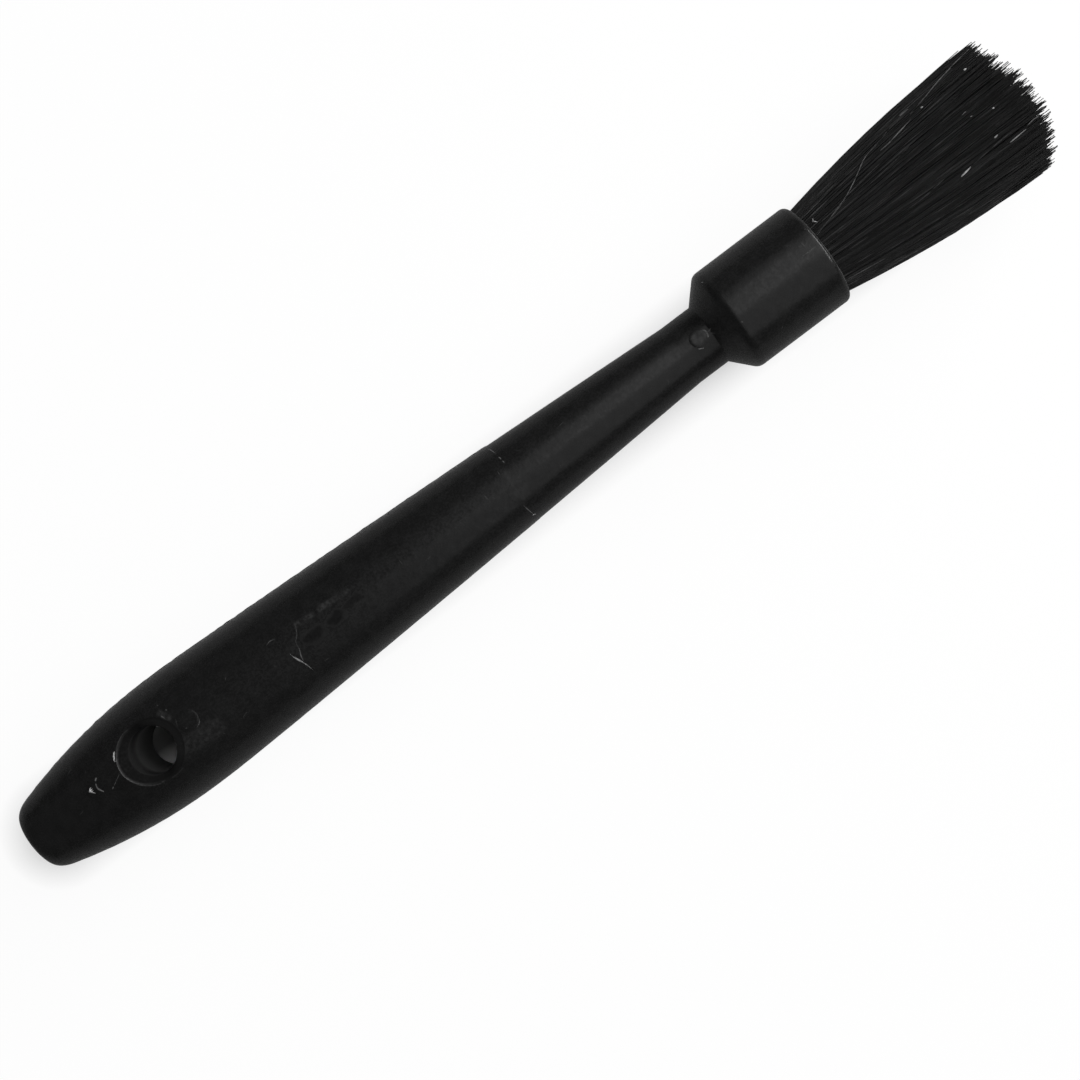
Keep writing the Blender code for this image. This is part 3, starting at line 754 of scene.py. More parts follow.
# Polypropylene turned pale by stress: where the black plastic was scratched or nicked it turned pale and
# dull.
# The same pale also paints highlights: on the first pin's burr, on the edges of the pins' discs and along
# the hanging hole's rim.
paleMarkPlastic = {
    "faint": "#161616",
    "pale": "#e0e0e0",
    "roughness": 0.6,
    "broken": 0.3 * mm,  # how long the paler and darker bits along a scratch are
    "ior": 1.49,
    "specular": 0.2,
}
paleMarkSkin = {"lift": 0.02 * mm, "taper": 0.6, "sides": 12, "step": 0.2 * mm}
# Scratches and painted highlights: points in millimetres from the butt and aside (towards -Y), half a width
# in millimetres, how pale, and for those on a pin's mark how high that stands, in millimetres.
scratchesAndGlints = [
    # The long forked scratch of the grip
    ([(53.2, 0.9), (53.5, 2.2), (54.1, 3.6), (54.4, 5.2)], 0.08, 0.26),
    ([(53.4, 1.6), (53.9, 2.9), (54.2, 4.2)], 0.10, 0.30),
    ([(56.8, -2.8), (56.0, -1.0), (55.1, 0.0), (54.9, 1.2)], 0.10, 0.035),
    ([(55.0, 0.6), (54.8, 1.4), (54.4, 2.2), (54.2, 3.3)], 0.10, 0.08),
    ([(51.0, -2.4), (51.8, -2.6), (52.6, -2.4)], 0.06, 0.07),
    ([(14.0, -0.75), (14.5, -1.15), (14.9, -1.25)], 0.14, 0.7),  # the burr beside the first pin's mark, painted pale where it catches the light: a painted highlight
    ([(14.0, -0.85), (14.4, -0.5), (14.8, 0.0)], 0.14, 0.5),
    ([(14.1, -0.8), (14.75, -0.95)], 0.14, 0.85),
    ([(14.1, -0.75), (14.75, -0.55)], 0.14, 0.85),
    ([(15.8, -1.2), (15.6, -0.4), (16.1, 0.6)], 0.11, 0.14, 0.04),
    ([(16.0, -1.6), (16.4, -1.9)], 0.12, 0.16, 0.04),
    ([(17.5, 1.1), (17.9, 0.9)], 0.10, 0.16),
    ([(17.9, 0.9), (18.9, 0.4), (19.9, -0.1)], 0.05, 0.08),
    ([(20.45, -2.0), (20.8, -2.8), (21.4, -3.65)], 0.09, 0.55),  # a nick in the hole's rim
    ([(20.35, -2.1), (20.68, -2.85), (21.27, -3.65)], 0.09, 0.5),
    ([(25.6, 5.35), (27.2, 5.4), (28.7, 5.1)], 0.05, 0.02),
    ([(30.8, -3.6), (31.1, -2.9)], 0.12, 0.10),
    ([(31.1, -5.3), (31.2, -5.2)], 0.10, 0.08),
    ([(31.9, -3.9), (32.1, -3.7)], 0.10, 0.07),
    ([(32.55, -1.7), (32.25, -1.1), (32.2, -0.3), (32.4, 0.25)], 0.07, 0.05),  # round the second pin's mark; the arc on its tip side is a painted highlight of the disc's edge
    ([(33.9, 1.3), (34.5, 1.35), (35.2, 1.05), (35.6, 0.5)], 0.07, 0.09),
    ([(32.9, 0.5), (33.15, 0.5)], 0.09, 0.06, 0.05),
    ([(97.5, -6.9), (98.0, -6.2), (98.4, -4.7)], 0.24, 0.13),  # flash where the mould's inserts meet
    ([(98.2, -6.8), (99.3, -6.6)], 0.3, 0.08),
    ([(97.8, -6.8), (98.5, -6.3)], 0.4, 0.10),
    ([(98.5, -4.3), (98.6, -3.8)], 0.10, 0.22),
    ([(98.6, -3.4), (98.7, -3.0)], 0.08, 0.15),
    ([(97.0, 4.3), (97.2, 5.4), (97.4, 6.4)], 0.09, 0.1),
    ([(97.2, 6.3), (97.8, 6.5)], 0.15, 0.45),
    ([(97.0, -2.6), (96.9, -1.6)], 0.06, 0.03),
    ([(93.0, -0.8), (93.1, 0.4)], 0.14, 0.035),
    ([(76.0, -0.6), (76.0, 0.4)], 0.10, 0.02),
    ([(37.0, 4.6), (37.2, 4.8)], 0.14, 0.06),
    ([(42.5, -1.9), (42.8, -2.2)], 0.12, 0.03),
    ([(50.0, 1.0), (50.3, 1.2)], 0.12, 0.03),
    ([(136.8, -0.9), (137.0, -0.2), (136.8, 0.6)], 0.13, 0.12, 0.03),  # round the neck's pin mark; the first, on its tip side, is a painted highlight of the disc's edge
    ([(134.3, 1.1), (135.3, 1.6)], 0.10, 0.16),
    ([(134.0, -0.5), (134.5, -1.3)], 0.08, 0.07),
    ([(137.3, -0.1), (138.0, -0.3)], 0.09, 0.1),
    ([(137.6, 0.3), (138.0, 0.8)], 0.07, 0.07),
    ([(142.0, 2.0), (142.2, 2.2)], 0.12, 0.08),  # the collar's corner and its side
    ([(141.2, -7.1), (141.4, -6.9)], 0.14, 0.25),
    ([(140.9, 8.2), (141.2, 8.4)], 0.18, 0.35),
    ([(157.0, -2.5), (157.1, -1.2)], 0.08, 0.035),
    ([(155.8, -0.5), (157.2, -0.4), (158.4, -0.4)], 0.08, 0.05),
    ([(158.8, -3.7), (159.0, -3.6)], 0.12, 0.06),
]
# Pale arcs beside the hanging hole's rim, a painted highlight of its edge, in degrees from the butt's side
# round, and in millimetres.
rimHighlight = {"arcs": [(-80, -20), (30, 90)], "step": 10, "clear": 0.06, "halfWidth": 0.07, "pale": 0.04}
fineWear = {
    "count": 110,
    "seed": 7,
    "from": 4,  # mm from the butt
    "to": 158,
    "heading": 0.7,  # how far they turn from the handle's length, in radians
    "length": (0.3, 1.4),
    "halfWidth": (0.02, 0.045),
    "pale": (0.01, 0.05),
    "keepOff": [(19, 33), (129, 143)],  # the hanging hole, and the neck with its cone
}


def paleMaterial(name, look):
    material, tree, shader = newMaterial(name)
    place = addNode(tree, "ShaderNodeTexCoord").outputs["Object"]
    grain = addNode(tree, "ShaderNodeTexNoise",
        {"Vector": place, "Scale": 1 / look["broken"], "Detail": 2.0})
    broken = addNode(tree, "ShaderNodeMapRange", {0: grain, 1: 0.35, 2: 0.6, 3: 0.45, 4: 1.25})
    depth = addNode(tree, "ShaderNodeAttribute", attribute_name="paleness").outputs["Fac"]
    pale = addNode(tree, "ShaderNodeMath", {0: depth, 1: broken}, operation="MULTIPLY", use_clamp=True)
    tone = addNode(tree, "ShaderNodeMix", {0: pale, 6: colour(look["faint"]), 7: colour(look["pale"])},
        data_type="RGBA")
    tree.links.new(tone.outputs[2], shader.inputs["Base Color"])
    shader.inputs["Roughness"].default_value = look["roughness"]
    shader.inputs["IOR"].default_value = look["ior"]
    shader.inputs["Specular IOR Level"].default_value = look["specular"]
    return material


def outerRadius(profile, height):  # the handle's radius at a height from the butt, from its outer profile
    outer = [p for p in profile if p[0] >= 0.0][::-1]
    for (lowH, lowR), (highH, highR) in zip(outer, outer[1:]):
        if lowH <= height <= highH and highH > lowH:
            return lowR + (highR - lowR) * (height - lowH) / (highH - lowH)
    return outer[-1][1]


def smoothRoute(points, step):  # a smooth curve through the points, about a step apart
    ends = [points[0] * 2 - points[1]] + points + [points[-1] * 2 - points[-2]]
    route = [points[0]]
    for a, b, c, d in zip(ends, ends[1:], ends[2:], ends[3:]):
        count = max(2, round((c - b).length / step))
        for i in range(1, count + 1):
            t = i / count
            squareTerm = (2 * a - 5 * b + 4 * c - d) * t**2
            route.append(0.5 * (2 * b + (c - a) * t + squareTerm + (3 * b - a - 3 * c + d) * t**3))
    return route


def lineMesh(name, lines):  # lines of (point, tube radius, paleness), as edges that a tree can skin
    mesh = bpy.data.meshes.new(name)
    places = [p for line in lines for p, _, _ in line]
    edges = []
    first = 0
    for line in lines:
        edges += [(first + i, first + i + 1) for i in range(len(line) - 1)]
        first += len(line)
    mesh.from_pydata(places, edges, [])
    for attribute, column in (("tubeRadius", 1), ("paleness", 2)):
        values = [row[column] for line in lines for row in line]
        mesh.attributes.new(attribute, "FLOAT", "POINT").data.foreach_set("value", values)
    return mesh


def skinnedLinesTree():  # a round skin along each line, as thick as its points say
    tree, given = newTree("skinnedLines",
        [("Lines", "Geometry"), ("Sides", "Int"), ("Material", "Material")])
    curve = addNode(tree, "GeometryNodeMeshToCurve", {0: given["Lines"]})
    thick = addNode(tree, "GeometryNodeInputNamedAttribute", {"Name": "tubeRadius"}, data_type="FLOAT")
    circle = addNode(tree, "GeometryNodeCurvePrimitiveCircle",
        {"Resolution": given["Sides"], "Radius": 1.0})
    skin = addNode(tree, "GeometryNodeCurveToMesh",
        {"Curve": curve, "Profile Curve": circle, "Scale": thick, "Fill Caps": True})
    smooth = addNode(tree, "GeometryNodeSetShadeSmooth", {0: skin})
    endTree(tree, smooth, given["Material"])
    return tree


def paleMarkLine(profile, plan, halfWidth, pale, rise=0.0, turned=0.0):
    # a tube sunk so far that only its back shows
    route = smoothRoute([Vector(p) * mm for p in plan], paleMarkSkin["step"])
    lift = paleMarkSkin["lift"]
    radius = ((halfWidth * mm) ** 2 + lift**2) / (2 * lift)
    line = []
    for i, (along, aside) in enumerate(route):
        width = halfWidth * mm * math.sin(math.pi * (i + 0.5) / len(route)) ** paleMarkSkin["taper"]
        depth = math.sqrt(radius**2 - width**2)
        bodyR = outerRadius(profile, along)
        angle = math.asin(max(-1.0, min(1.0, aside / bodyR))) + turned
        nearby = 0.1 * mm
        slope = (outerRadius(profile, along + nearby) - outerRadius(profile, along - nearby)) / (2 * nearby)
        outward = Vector((-slope, -math.sin(angle), math.cos(angle))).normalized()
        surface = Vector((buttX + along, -bodyR * math.sin(angle), axisZ + bodyR * math.cos(angle)))
        surface += outward * rise * mm
        line.append((surface - outward * depth, radius, pale))
    return line


def rimHighlightArc(hole, highlight, first, last):
    # points just outside the hanging hole's rim, from the butt's side round, for its painted highlight
    along = (hole["r"] + hole["rimAlong"]) / mm + highlight["clear"]
    across = (hole["r"] + hole["rimAcross"]) / mm + highlight["clear"]
    turns = [math.radians(a) for a in range(first, last, highlight["step"])]
    return [(hole["fromButt"] / mm - along * math.cos(a), across * math.sin(a)) for a in turns]


def fineScratches(profile, wear):  # hair-fine scratch marks all round, as handling leaves them
    luck = random.Random(wear["seed"])
    lines = []
    for _ in range(wear["count"]):
        along = luck.uniform(wear["from"], wear["to"])
        turned = luck.uniform(0, math.tau)
        heading = luck.gauss(0.0, wear["heading"])
        length = luck.uniform(*wear["length"])
        halfWidth = luck.uniform(*wear["halfWidth"])
        pale = luck.uniform(*wear["pale"])
        if any(first < along < last for first, last in wear["keepOff"]):
            continue
        end = (along + length * math.cos(heading), length * math.sin(heading))
        lines.append(paleMarkLine(profile, [(along, 0.0), end], halfWidth, pale, 0.0, turned))
    return lines


linesTree = skinnedLinesTree()
outerProfile = handleProfile(handleSize)
paleMarkLines = [paleMarkLine(outerProfile, *mark) for mark in scratchesAndGlints]
paleMarkLines += fineScratches(outerProfile, fineWear)
for firstTurn, lastTurn in rimHighlight["arcs"]:
    arc = rimHighlightArc(hangingHole, rimHighlight, firstTurn, lastTurn)
    paleMarkLines.append(paleMarkLine(outerProfile, arc, rimHighlight["halfWidth"], rimHighlight["pale"]))
paleWearAndHighlight = paleMaterial("paleMarkPolypropylene", paleMarkPlastic)
paleMarkValues = {"Sides": paleMarkSkin["sides"], "Material": paleWearAndHighlight}
handleScratchesAndGlints = growMesh("handleScratchesAndGlints", linesTree, paleMarkValues,
    lineMesh("paleMarkLines", paleMarkLines))
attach(handleScratchesAndGlints, "root")
print("scratches ready, %d faces" % len(handleScratchesAndGlints.data.polygons))


# Black bristle, round and a little glossy. A strand is almost black, with thin grey streaks along it
# painted in as highlights, where a strand would turn towards the light.
bristle = {
    "dark": "#121212",
    "streak": "#545454",
    "atTips": "#0b0b0b",
    "streakLength": 8.0 * mm,
    "tipsFrom": 8.0 * mm,  # where they start to darken, from the mouth
    "tipsShare": 0.7,  # and how far at their ends
    "roughness": 0.42,
    "ior": 1.54,
    "specular": 0.2,
}


def bristleBlack(look):
    material, tree, shader = newMaterial("bristleBlack")
    glow = addNode(tree, "ShaderNodeAttribute", attribute_name="strandTint").outputs["Fac"]
    seed = addNode(tree, "ShaderNodeAttribute", attribute_name="strandSeed").outputs["Fac"]
    place = addNode(tree, "ShaderNodeTexCoord").outputs["Object"]
    along = addNode(tree, "ShaderNodeSeparateXYZ", {0: place})
    at = addNode(tree, "ShaderNodeMath", {0: along, 1: 1 / look["streakLength"], 2: seed},
        operation="MULTIPLY_ADD")
    streaks = addNode(tree, "ShaderNodeTexNoise", {"W": at, "Scale": 1.0, "Detail": 2.0},
        noise_dimensions="1D")
    streak = addNode(tree, "ShaderNodeMapRange", {0: streaks, 1: 0.48, 2: 0.7})
    tint = addNode(tree, "ShaderNodeMath", {0: streak, 1: glow}, operation="MULTIPLY")
    mix = addNode(tree, "ShaderNodeMix", {0: tint, 6: colour(look["dark"]), 7: colour(look["streak"])},
        data_type="RGBA")
    tipward = addNode(tree, "ShaderNodeMapRange",
        {0: along, 1: mouthX + look["tipsFrom"], 2: tuftHigh.x, 4: look["tipsShare"]})
    faded = addNode(tree, "ShaderNodeMix", {0: tipward, 6: mix.outputs[2], 7: colour(look["atTips"])},
        data_type="RGBA")
    tree.links.new(faded.outputs[2], shader.inputs["Base Color"])
    rough = addNode(tree, "ShaderNodeMapRange",
        {0: tint, 3: look["roughness"] + 0.1, 4: look["roughness"] - 0.08})
    tree.links.new(rough.outputs[0], shader.inputs["Roughness"])
    shader.inputs["IOR"].default_value = look["ior"]
    shader.inputs["Specular IOR Level"].default_value = look["specular"]
    return material


bristleMaterial = bristleBlack(bristle)

tuft = {
    "Length": tuftHigh.x - mouthX,
    "Reach": 0.55 * mm,  # how far the longest strands stand out of the cut end
    "Ragged": 2.7 * mm,
    "Corner Cut": 1.6 * mm,  # how much shorter it is on its -Y side
    "Far Cut": 0.9 * mm,  # and on its +Y side
    "Knot Radius": 8.05 * mm,
    "Pinch Radius": 7.2 * mm,
    "Wire Depth": 4.5 * mm,
    "Root Depth": 9.0 * mm,
    "Flare": 4.02 * mm,
    "Droop": 0.95,
    "Lean": 0.36 * mm,  # towards +Y at the tips
    "Strand Radius": 0.108 * mm,
    "Tip Share": 0.45,  # tip radius against the root's
    "Waver": 0.3 * mm,
    "Wave Length": 13.0 * mm,
    "Lock Size": 3.0 * mm,
    "Lock Lean": 0.9 * mm,
    "Clump Size": 0.8 * mm,
    "Clump Pull": 0.6,
    "Side Tint": 0.34,  # how much paler the strands at its -Y side are
    "Far Tint": 0.12,  # and at its +Y side
}
tuftLayers = {  # strands and the share of the bundle's section that they fill, from its axis out
    "bristlesInner": {"Count": 1500, "Inside": 0.0, "Outside": 0.35},
    "bristlesMiddle": {"Count": 1500, "Inside": 0.35, "Outside": 0.68},
    "bristlesOuter": {"Count": 1500, "Inside": 0.66, "Outside": 0.86},
    "bristlesSkin": {"Count": 1900, "Inside": 0.85, "Outside": 1.0},
}
strandHabit = {
    "points": 10,
    "sides": 4,
    "seed": 11,
    "angleJitter": 0.5,  # radians
    # Shares of the raggedness that a strand loses: by how far out in its clump it stands,
    "clumpEdge": 0.8,
    "clumpLuck": 0.4,  # by its clump's luck
    "ownLuck": 0.5,  # and by its own
    "strayAbove": 0.93,  # a strand with more luck than this strays from its clump
    "strayShare": 0.25,  # and only takes this share of its pull and its loss
    "cornerSide": (-5.0 * mm, -12.0 * mm),  # where the -Y corner's cut starts and is full, at the tips
    "farSide": (1.0 * mm, 6.0 * mm),  # and the far side's
    "paleNear": (-9.0 * mm, -12.0 * mm),  # where the paler strands start and are palest
    "paleFar": (9.5 * mm, 12.0 * mm),
    "gatherFrom": 0.55,  # along the strand
    "thickness": (0.8, 1.2),  # the thinnest and the thickest strand against the middle one
    "tint": (0.03, 0.75),
    "tintCurve": 3.0,
}


def strandTree(habit):
    # strands in a golden-angle spread, flared from the mouth, pulled into clumps at their tips
    names = list(tuft) + ["Inside", "Outside", "Mouth", "Axis Height"]
    inputs = [(n, "Float") for n in names] + [("Count", "Int"), ("Seed", "Int"), ("Material", "Material")]
    tree, given = newTree("bristleStrands", inputs)
    line = addNode(tree, "GeometryNodeCurvePrimitiveLine")
    cut = addNode(tree, "GeometryNodeResampleCurve", {"Curve": line, "Count": habit["points"]})
    copies = addNode(tree, "GeometryNodeDuplicateElements", {"Geometry": cut, "Amount": given["Count"]},
        domain="SPLINE")
    strand = copies.outputs["Duplicate Index"]

    # Where the strand stands in the bundle.
    order = addNode(tree, "ShaderNodeMath", {0: strand, 1: given["Count"]}, operation="DIVIDE")
    area = addNode(tree, "ShaderNodeMapRange", {0: order, 3: given["Inside"], 4: given["Outside"]})
    share = addNode(tree, "ShaderNodeMath", {0: area}, operation="SQRT")
    jitterRange = {2: 0.0, 3: habit["angleJitter"], "ID": strand, "Seed": given["Seed"]}
    jitter = addNode(tree, "FunctionNodeRandomValue", jitterRange, data_type="FLOAT")
    golden = math.pi * (3 - math.sqrt(5))
    angle = addNode(tree, "ShaderNodeMath", {0: strand, 1: golden, 2: jitter.outputs[1]},
        operation="MULTIPLY_ADD")
    chances = {0: (0, 0, 0), 1: (1, 1, 1), "ID": strand, "Seed": 3}
    chance = addNode(tree, "FunctionNodeRandomValue", chances, data_type="FLOAT_VECTOR")
    luck = addNode(tree, "ShaderNodeSeparateXYZ", {0: chance})

    # Its tip in the cut end, the clump there, and how much shorter that makes it.
    tipReach = addNode(tree, "ShaderNodeMath", {0: given["Knot Radius"], 1: given["Flare"]},
        operation="ADD")
    tipAway = addNode(tree, "ShaderNodeMath", {0: share, 1: tipReach}, operation="MULTIPLY")
    tipSpoke = addNode(tree, "ShaderNodeCombineXYZ", {2: tipAway})
    tip = addNode(tree, "ShaderNodeVectorRotate", {"Vector": tipSpoke, "Angle": angle},
        rotation_type="X_AXIS")
    clumps = addNode(tree, "ShaderNodeMath", {0: 1.0, 1: given["Clump Size"]}, operation="DIVIDE")
    cell = addNode(tree, "ShaderNodeTexVoronoi", {"Vector": tip, "Scale": clumps})
    toClump = addNode(tree, "ShaderNodeVectorMath", {0: cell.outputs["Position"], 1: tip},
        operation="SUBTRACT")
    cellLuck = addNode(tree, "ShaderNodeSeparateXYZ", {0: cell.outputs["Color"]})
    edgeLoss = addNode(tree, "ShaderNodeMath", {0: cell.outputs["Distance"], 1: habit["clumpEdge"]},
        operation="MULTIPLY")
    clumpLoss = addNode(tree, "ShaderNodeMath", {0: cellLuck, 1: habit["clumpLuck"], 2: edgeLoss},
        operation="MULTIPLY_ADD")
    luckSquare = addNode(tree, "ShaderNodeMath", {0: luck.outputs[0], 1: 2.0}, operation="POWER")
    ownLoss = addNode(tree, "ShaderNodeMath", {0: luckSquare, 1: habit["ownLuck"], 2: clumpLoss},
        operation="MULTIPLY_ADD")
    stray = addNode(tree, "ShaderNodeMath", {0: luck.outputs[1], 1: habit["strayAbove"]},
        operation="GREATER_THAN")
    kept = addNode(tree, "ShaderNodeMapRange", {0: stray, 3: 1.0, 4: habit["strayShare"]})
    strandLoss = addNode(tree, "ShaderNodeMath", {0: ownLoss, 1: kept}, operation="MULTIPLY")
    ragged = addNode(tree, "ShaderNodeMath", {0: strandLoss, 1: given["Ragged"]}, operation="MULTIPLY")
    tipAt = addNode(tree, "ShaderNodeSeparateXYZ", {0: tip})
    start, full = habit["cornerSide"]
    corner = addNode(tree, "ShaderNodeMapRange",
        {0: tipAt.outputs[1], 1: start, 2: full, 4: given["Corner Cut"]})
    start, full = habit["farSide"]
    farSide = addNode(tree, "ShaderNodeMapRange",
        {0: tipAt.outputs[1], 1: start, 2: full, 4: given["Far Cut"]})
    cuts = addNode(tree, "ShaderNodeMath", {0: corner, 1: farSide}, operation="ADD")
    loss = addNode(tree, "ShaderNodeMath", {0: ragged, 1: cuts}, operation="ADD")
    reach = addNode(tree, "ShaderNodeMath", {0: given["Length"], 1: given["Reach"]}, operation="ADD")
    length = addNode(tree, "ShaderNodeMath", {0: reach, 1: loss}, operation="SUBTRACT")

    # How far along it each point is, and the bundle's radius there.
    factor = addNode(tree, "GeometryNodeSplineParameter").outputs["Factor"]
    root = addNode(tree, "ShaderNodeMath", {0: given["Root Depth"], 1: -1.0}, operation="MULTIPLY")
    out = addNode(tree, "ShaderNodeMapRange", {0: factor, 3: root, 4: length})
    freeOut = addNode(tree, "ShaderNodeMath", {0: out, 1: 0.0}, operation="MAXIMUM")
    toWire = addNode(tree, "ShaderNodeMath", {0: given["Wire Depth"], 1: -1.0}, operation="MULTIPLY")
    aboveWire = addNode(tree, "ShaderNodeMath", {0: out, 1: toWire}, operation="MAXIMUM")
    cupOut = addNode(tree, "ShaderNodeMath", {0: aboveWire, 1: 0.0}, operation="MINIMUM")
    part = addNode(tree, "ShaderNodeMath", {0: freeOut, 1: given["Length"]}, operation="DIVIDE")
    droopPart = addNode(tree, "ShaderNodeMath", {0: given["Droop"], 1: part}, operation="MULTIPLY")
    rise = addNode(tree, "ShaderNodeMath", {0: given["Droop"], 1: 1.0}, operation="ADD")
    bend = addNode(tree, "ShaderNodeMath", {0: rise, 1: droopPart}, operation="SUBTRACT")
    bendPart = addNode(tree, "ShaderNodeMath", {0: bend, 1: part}, operation="MULTIPLY")
    pinch = addNode(tree, "ShaderNodeMath", {0: given["Knot Radius"], 1: given["Pinch Radius"]},
        operation="SUBTRACT")
    pinchRate = addNode(tree, "ShaderNodeMath", {0: pinch, 1: given["Wire Depth"]}, operation="DIVIDE")
    knot = addNode(tree, "ShaderNodeMath", {0: pinchRate, 1: cupOut, 2: given["Knot Radius"]},
        operation="MULTIPLY_ADD")
    bundle = addNode(tree, "ShaderNodeMath", {0: bendPart, 1: given["Flare"], 2: knot},
        operation="MULTIPLY_ADD")
    inner = addNode(tree, "ShaderNodeMath", {0: bundle, 1: given["Strand Radius"]}, operation="SUBTRACT")
    spokeAway = addNode(tree, "ShaderNodeMath", {0: share, 1: inner}, operation="MULTIPLY")
    spoke = addNode(tree, "ShaderNodeCombineXYZ", {2: spokeAway})
    straight = addNode(tree, "ShaderNodeVectorRotate", {"Vector": spoke, "Angle": angle},
        rotation_type="X_AXIS")

    # Its own waver, the lean of the lock it stands in, and the pull of its clump.
    partSquare = addNode(tree, "ShaderNodeMath", {0: part, 1: part}, operation="MULTIPLY")
    waveAt = addNode(tree, "ShaderNodeMath", {0: out, 1: given["Wave Length"]}, operation="DIVIDE")
    waveSeed = addNode(tree, "ShaderNodeMath", {0: strand, 1: 7.31}, operation="MULTIPLY")
    wavePoint = addNode(tree, "ShaderNodeCombineXYZ", {0: waveAt, 1: waveSeed, 2: given["Outside"]})
    wave = addNode(tree, "ShaderNodeTexNoise", {"Vector": wavePoint, "Scale": 1.0, "Detail": 1.0})
    waveMid = addNode(tree, "ShaderNodeVectorMath", {0: wave.outputs["Color"], 1: (0.5, 0.5, 0.5)},
        operation="SUBTRACT")
    waveSize = addNode(tree, "ShaderNodeMath", {0: given["Waver"], 1: part}, operation="MULTIPLY")
    waveTwice = addNode(tree, "ShaderNodeMath", {0: waveSize, 1: 4.0}, operation="MULTIPLY")
    waveOff = addNode(tree, "ShaderNodeVectorMath", {0: waveMid, "Scale": waveTwice}, operation="SCALE")
    locks = addNode(tree, "ShaderNodeMath", {0: 1.0, 1: given["Lock Size"]}, operation="DIVIDE")
    lock = addNode(tree, "ShaderNodeTexNoise", {"Vector": tip, "Scale": locks, "Detail": 1.0})
    lockMid = addNode(tree, "ShaderNodeVectorMath", {0: lock.outputs["Color"], 1: (0.5, 0.5, 0.5)},
        operation="SUBTRACT")
    lockSize = addNode(tree, "ShaderNodeMath", {0: given["Lock Lean"], 1: partSquare}, operation="MULTIPLY")
    lockOff = addNode(tree, "ShaderNodeVectorMath", {0: lockMid, "Scale": lockSize}, operation="SCALE")
    gather = addNode(tree, "ShaderNodeMapRange", {0: part, 1: habit["gatherFrom"], 2: 1.0},
        interpolation_type="SMOOTHSTEP")
    ownPull = addNode(tree, "ShaderNodeMath", {0: kept, 1: given["Clump Pull"]}, operation="MULTIPLY")
    pull = addNode(tree, "ShaderNodeMath", {0: gather, 1: ownPull}, operation="MULTIPLY")
    clumpOff = addNode(tree, "ShaderNodeVectorMath", {0: toClump, "Scale": pull}, operation="SCALE")
    bent = addNode(tree, "ShaderNodeVectorMath", {0: straight, 1: waveOff}, operation="ADD")
    leaned = addNode(tree, "ShaderNodeVectorMath", {0: bent, 1: lockOff}, operation="ADD")
    gathered = addNode(tree, "ShaderNodeVectorMath", {0: leaned, 1: clumpOff}, operation="ADD")
    tuftLean = addNode(tree, "ShaderNodeMath", {0: partSquare, 1: given["Lean"]}, operation="MULTIPLY")
    leanOff = addNode(tree, "ShaderNodeCombineXYZ", {1: tuftLean})
    standing = addNode(tree, "ShaderNodeVectorMath", {0: gathered, 1: leanOff}, operation="ADD")
    at = addNode(tree, "ShaderNodeSeparateXYZ", {0: standing})

    # The underside is pressed onto the table: what would hang lower moves up in proportion.
    room = addNode(tree, "ShaderNodeMath", {0: given["Axis Height"], 1: given["Strand Radius"]},
        operation="SUBTRACT")
    outerSquare = addNode(tree, "ShaderNodeMath", {0: inner, 1: inner}, operation="MULTIPLY")
    acrossSquare = addNode(tree, "ShaderNodeMath", {0: at.outputs[1], 1: at.outputs[1]},
        operation="MULTIPLY")
    chord = addNode(tree, "ShaderNodeMath", {0: outerSquare, 1: acrossSquare}, operation="SUBTRACT")
    deepSquare = addNode(tree, "ShaderNodeMath", {0: chord, 1: 1e-8}, operation="MAXIMUM")
    deepest = addNode(tree, "ShaderNodeMath", {0: deepSquare}, operation="SQRT")
    ratio = addNode(tree, "ShaderNodeMath", {0: room, 1: deepest}, operation="DIVIDE")
    press = addNode(tree, "ShaderNodeMath", {0: ratio, 1: 1.0}, operation="MINIMUM")
    pressed = addNode(tree, "ShaderNodeMath", {0: at.outputs[2], 1: press}, operation="MULTIPLY")
    below = addNode(tree, "ShaderNodeMath", {0: at.outputs[2], 1: 0.0}, operation="LESS_THAN")
    settled = addNode(tree, "ShaderNodeMix", {0: below, 2: at.outputs[2], 3: pressed}, data_type="FLOAT")
    lowest = addNode(tree, "ShaderNodeMath", {0: room, 1: -1.0}, operation="MULTIPLY")
    resting = addNode(tree, "ShaderNodeMath", {0: settled, 1: lowest}, operation="MAXIMUM")
    worldX = addNode(tree, "ShaderNodeMath", {0: given["Mouth"], 1: out}, operation="ADD")
    worldZ = addNode(tree, "ShaderNodeMath", {0: given["Axis Height"], 1: resting}, operation="ADD")
    place = addNode(tree, "ShaderNodeCombineXYZ", {0: worldX, 1: at.outputs[1], 2: worldZ})
    laid = addNode(tree, "GeometryNodeSetPosition", {"Geometry": copies, "Position": place})

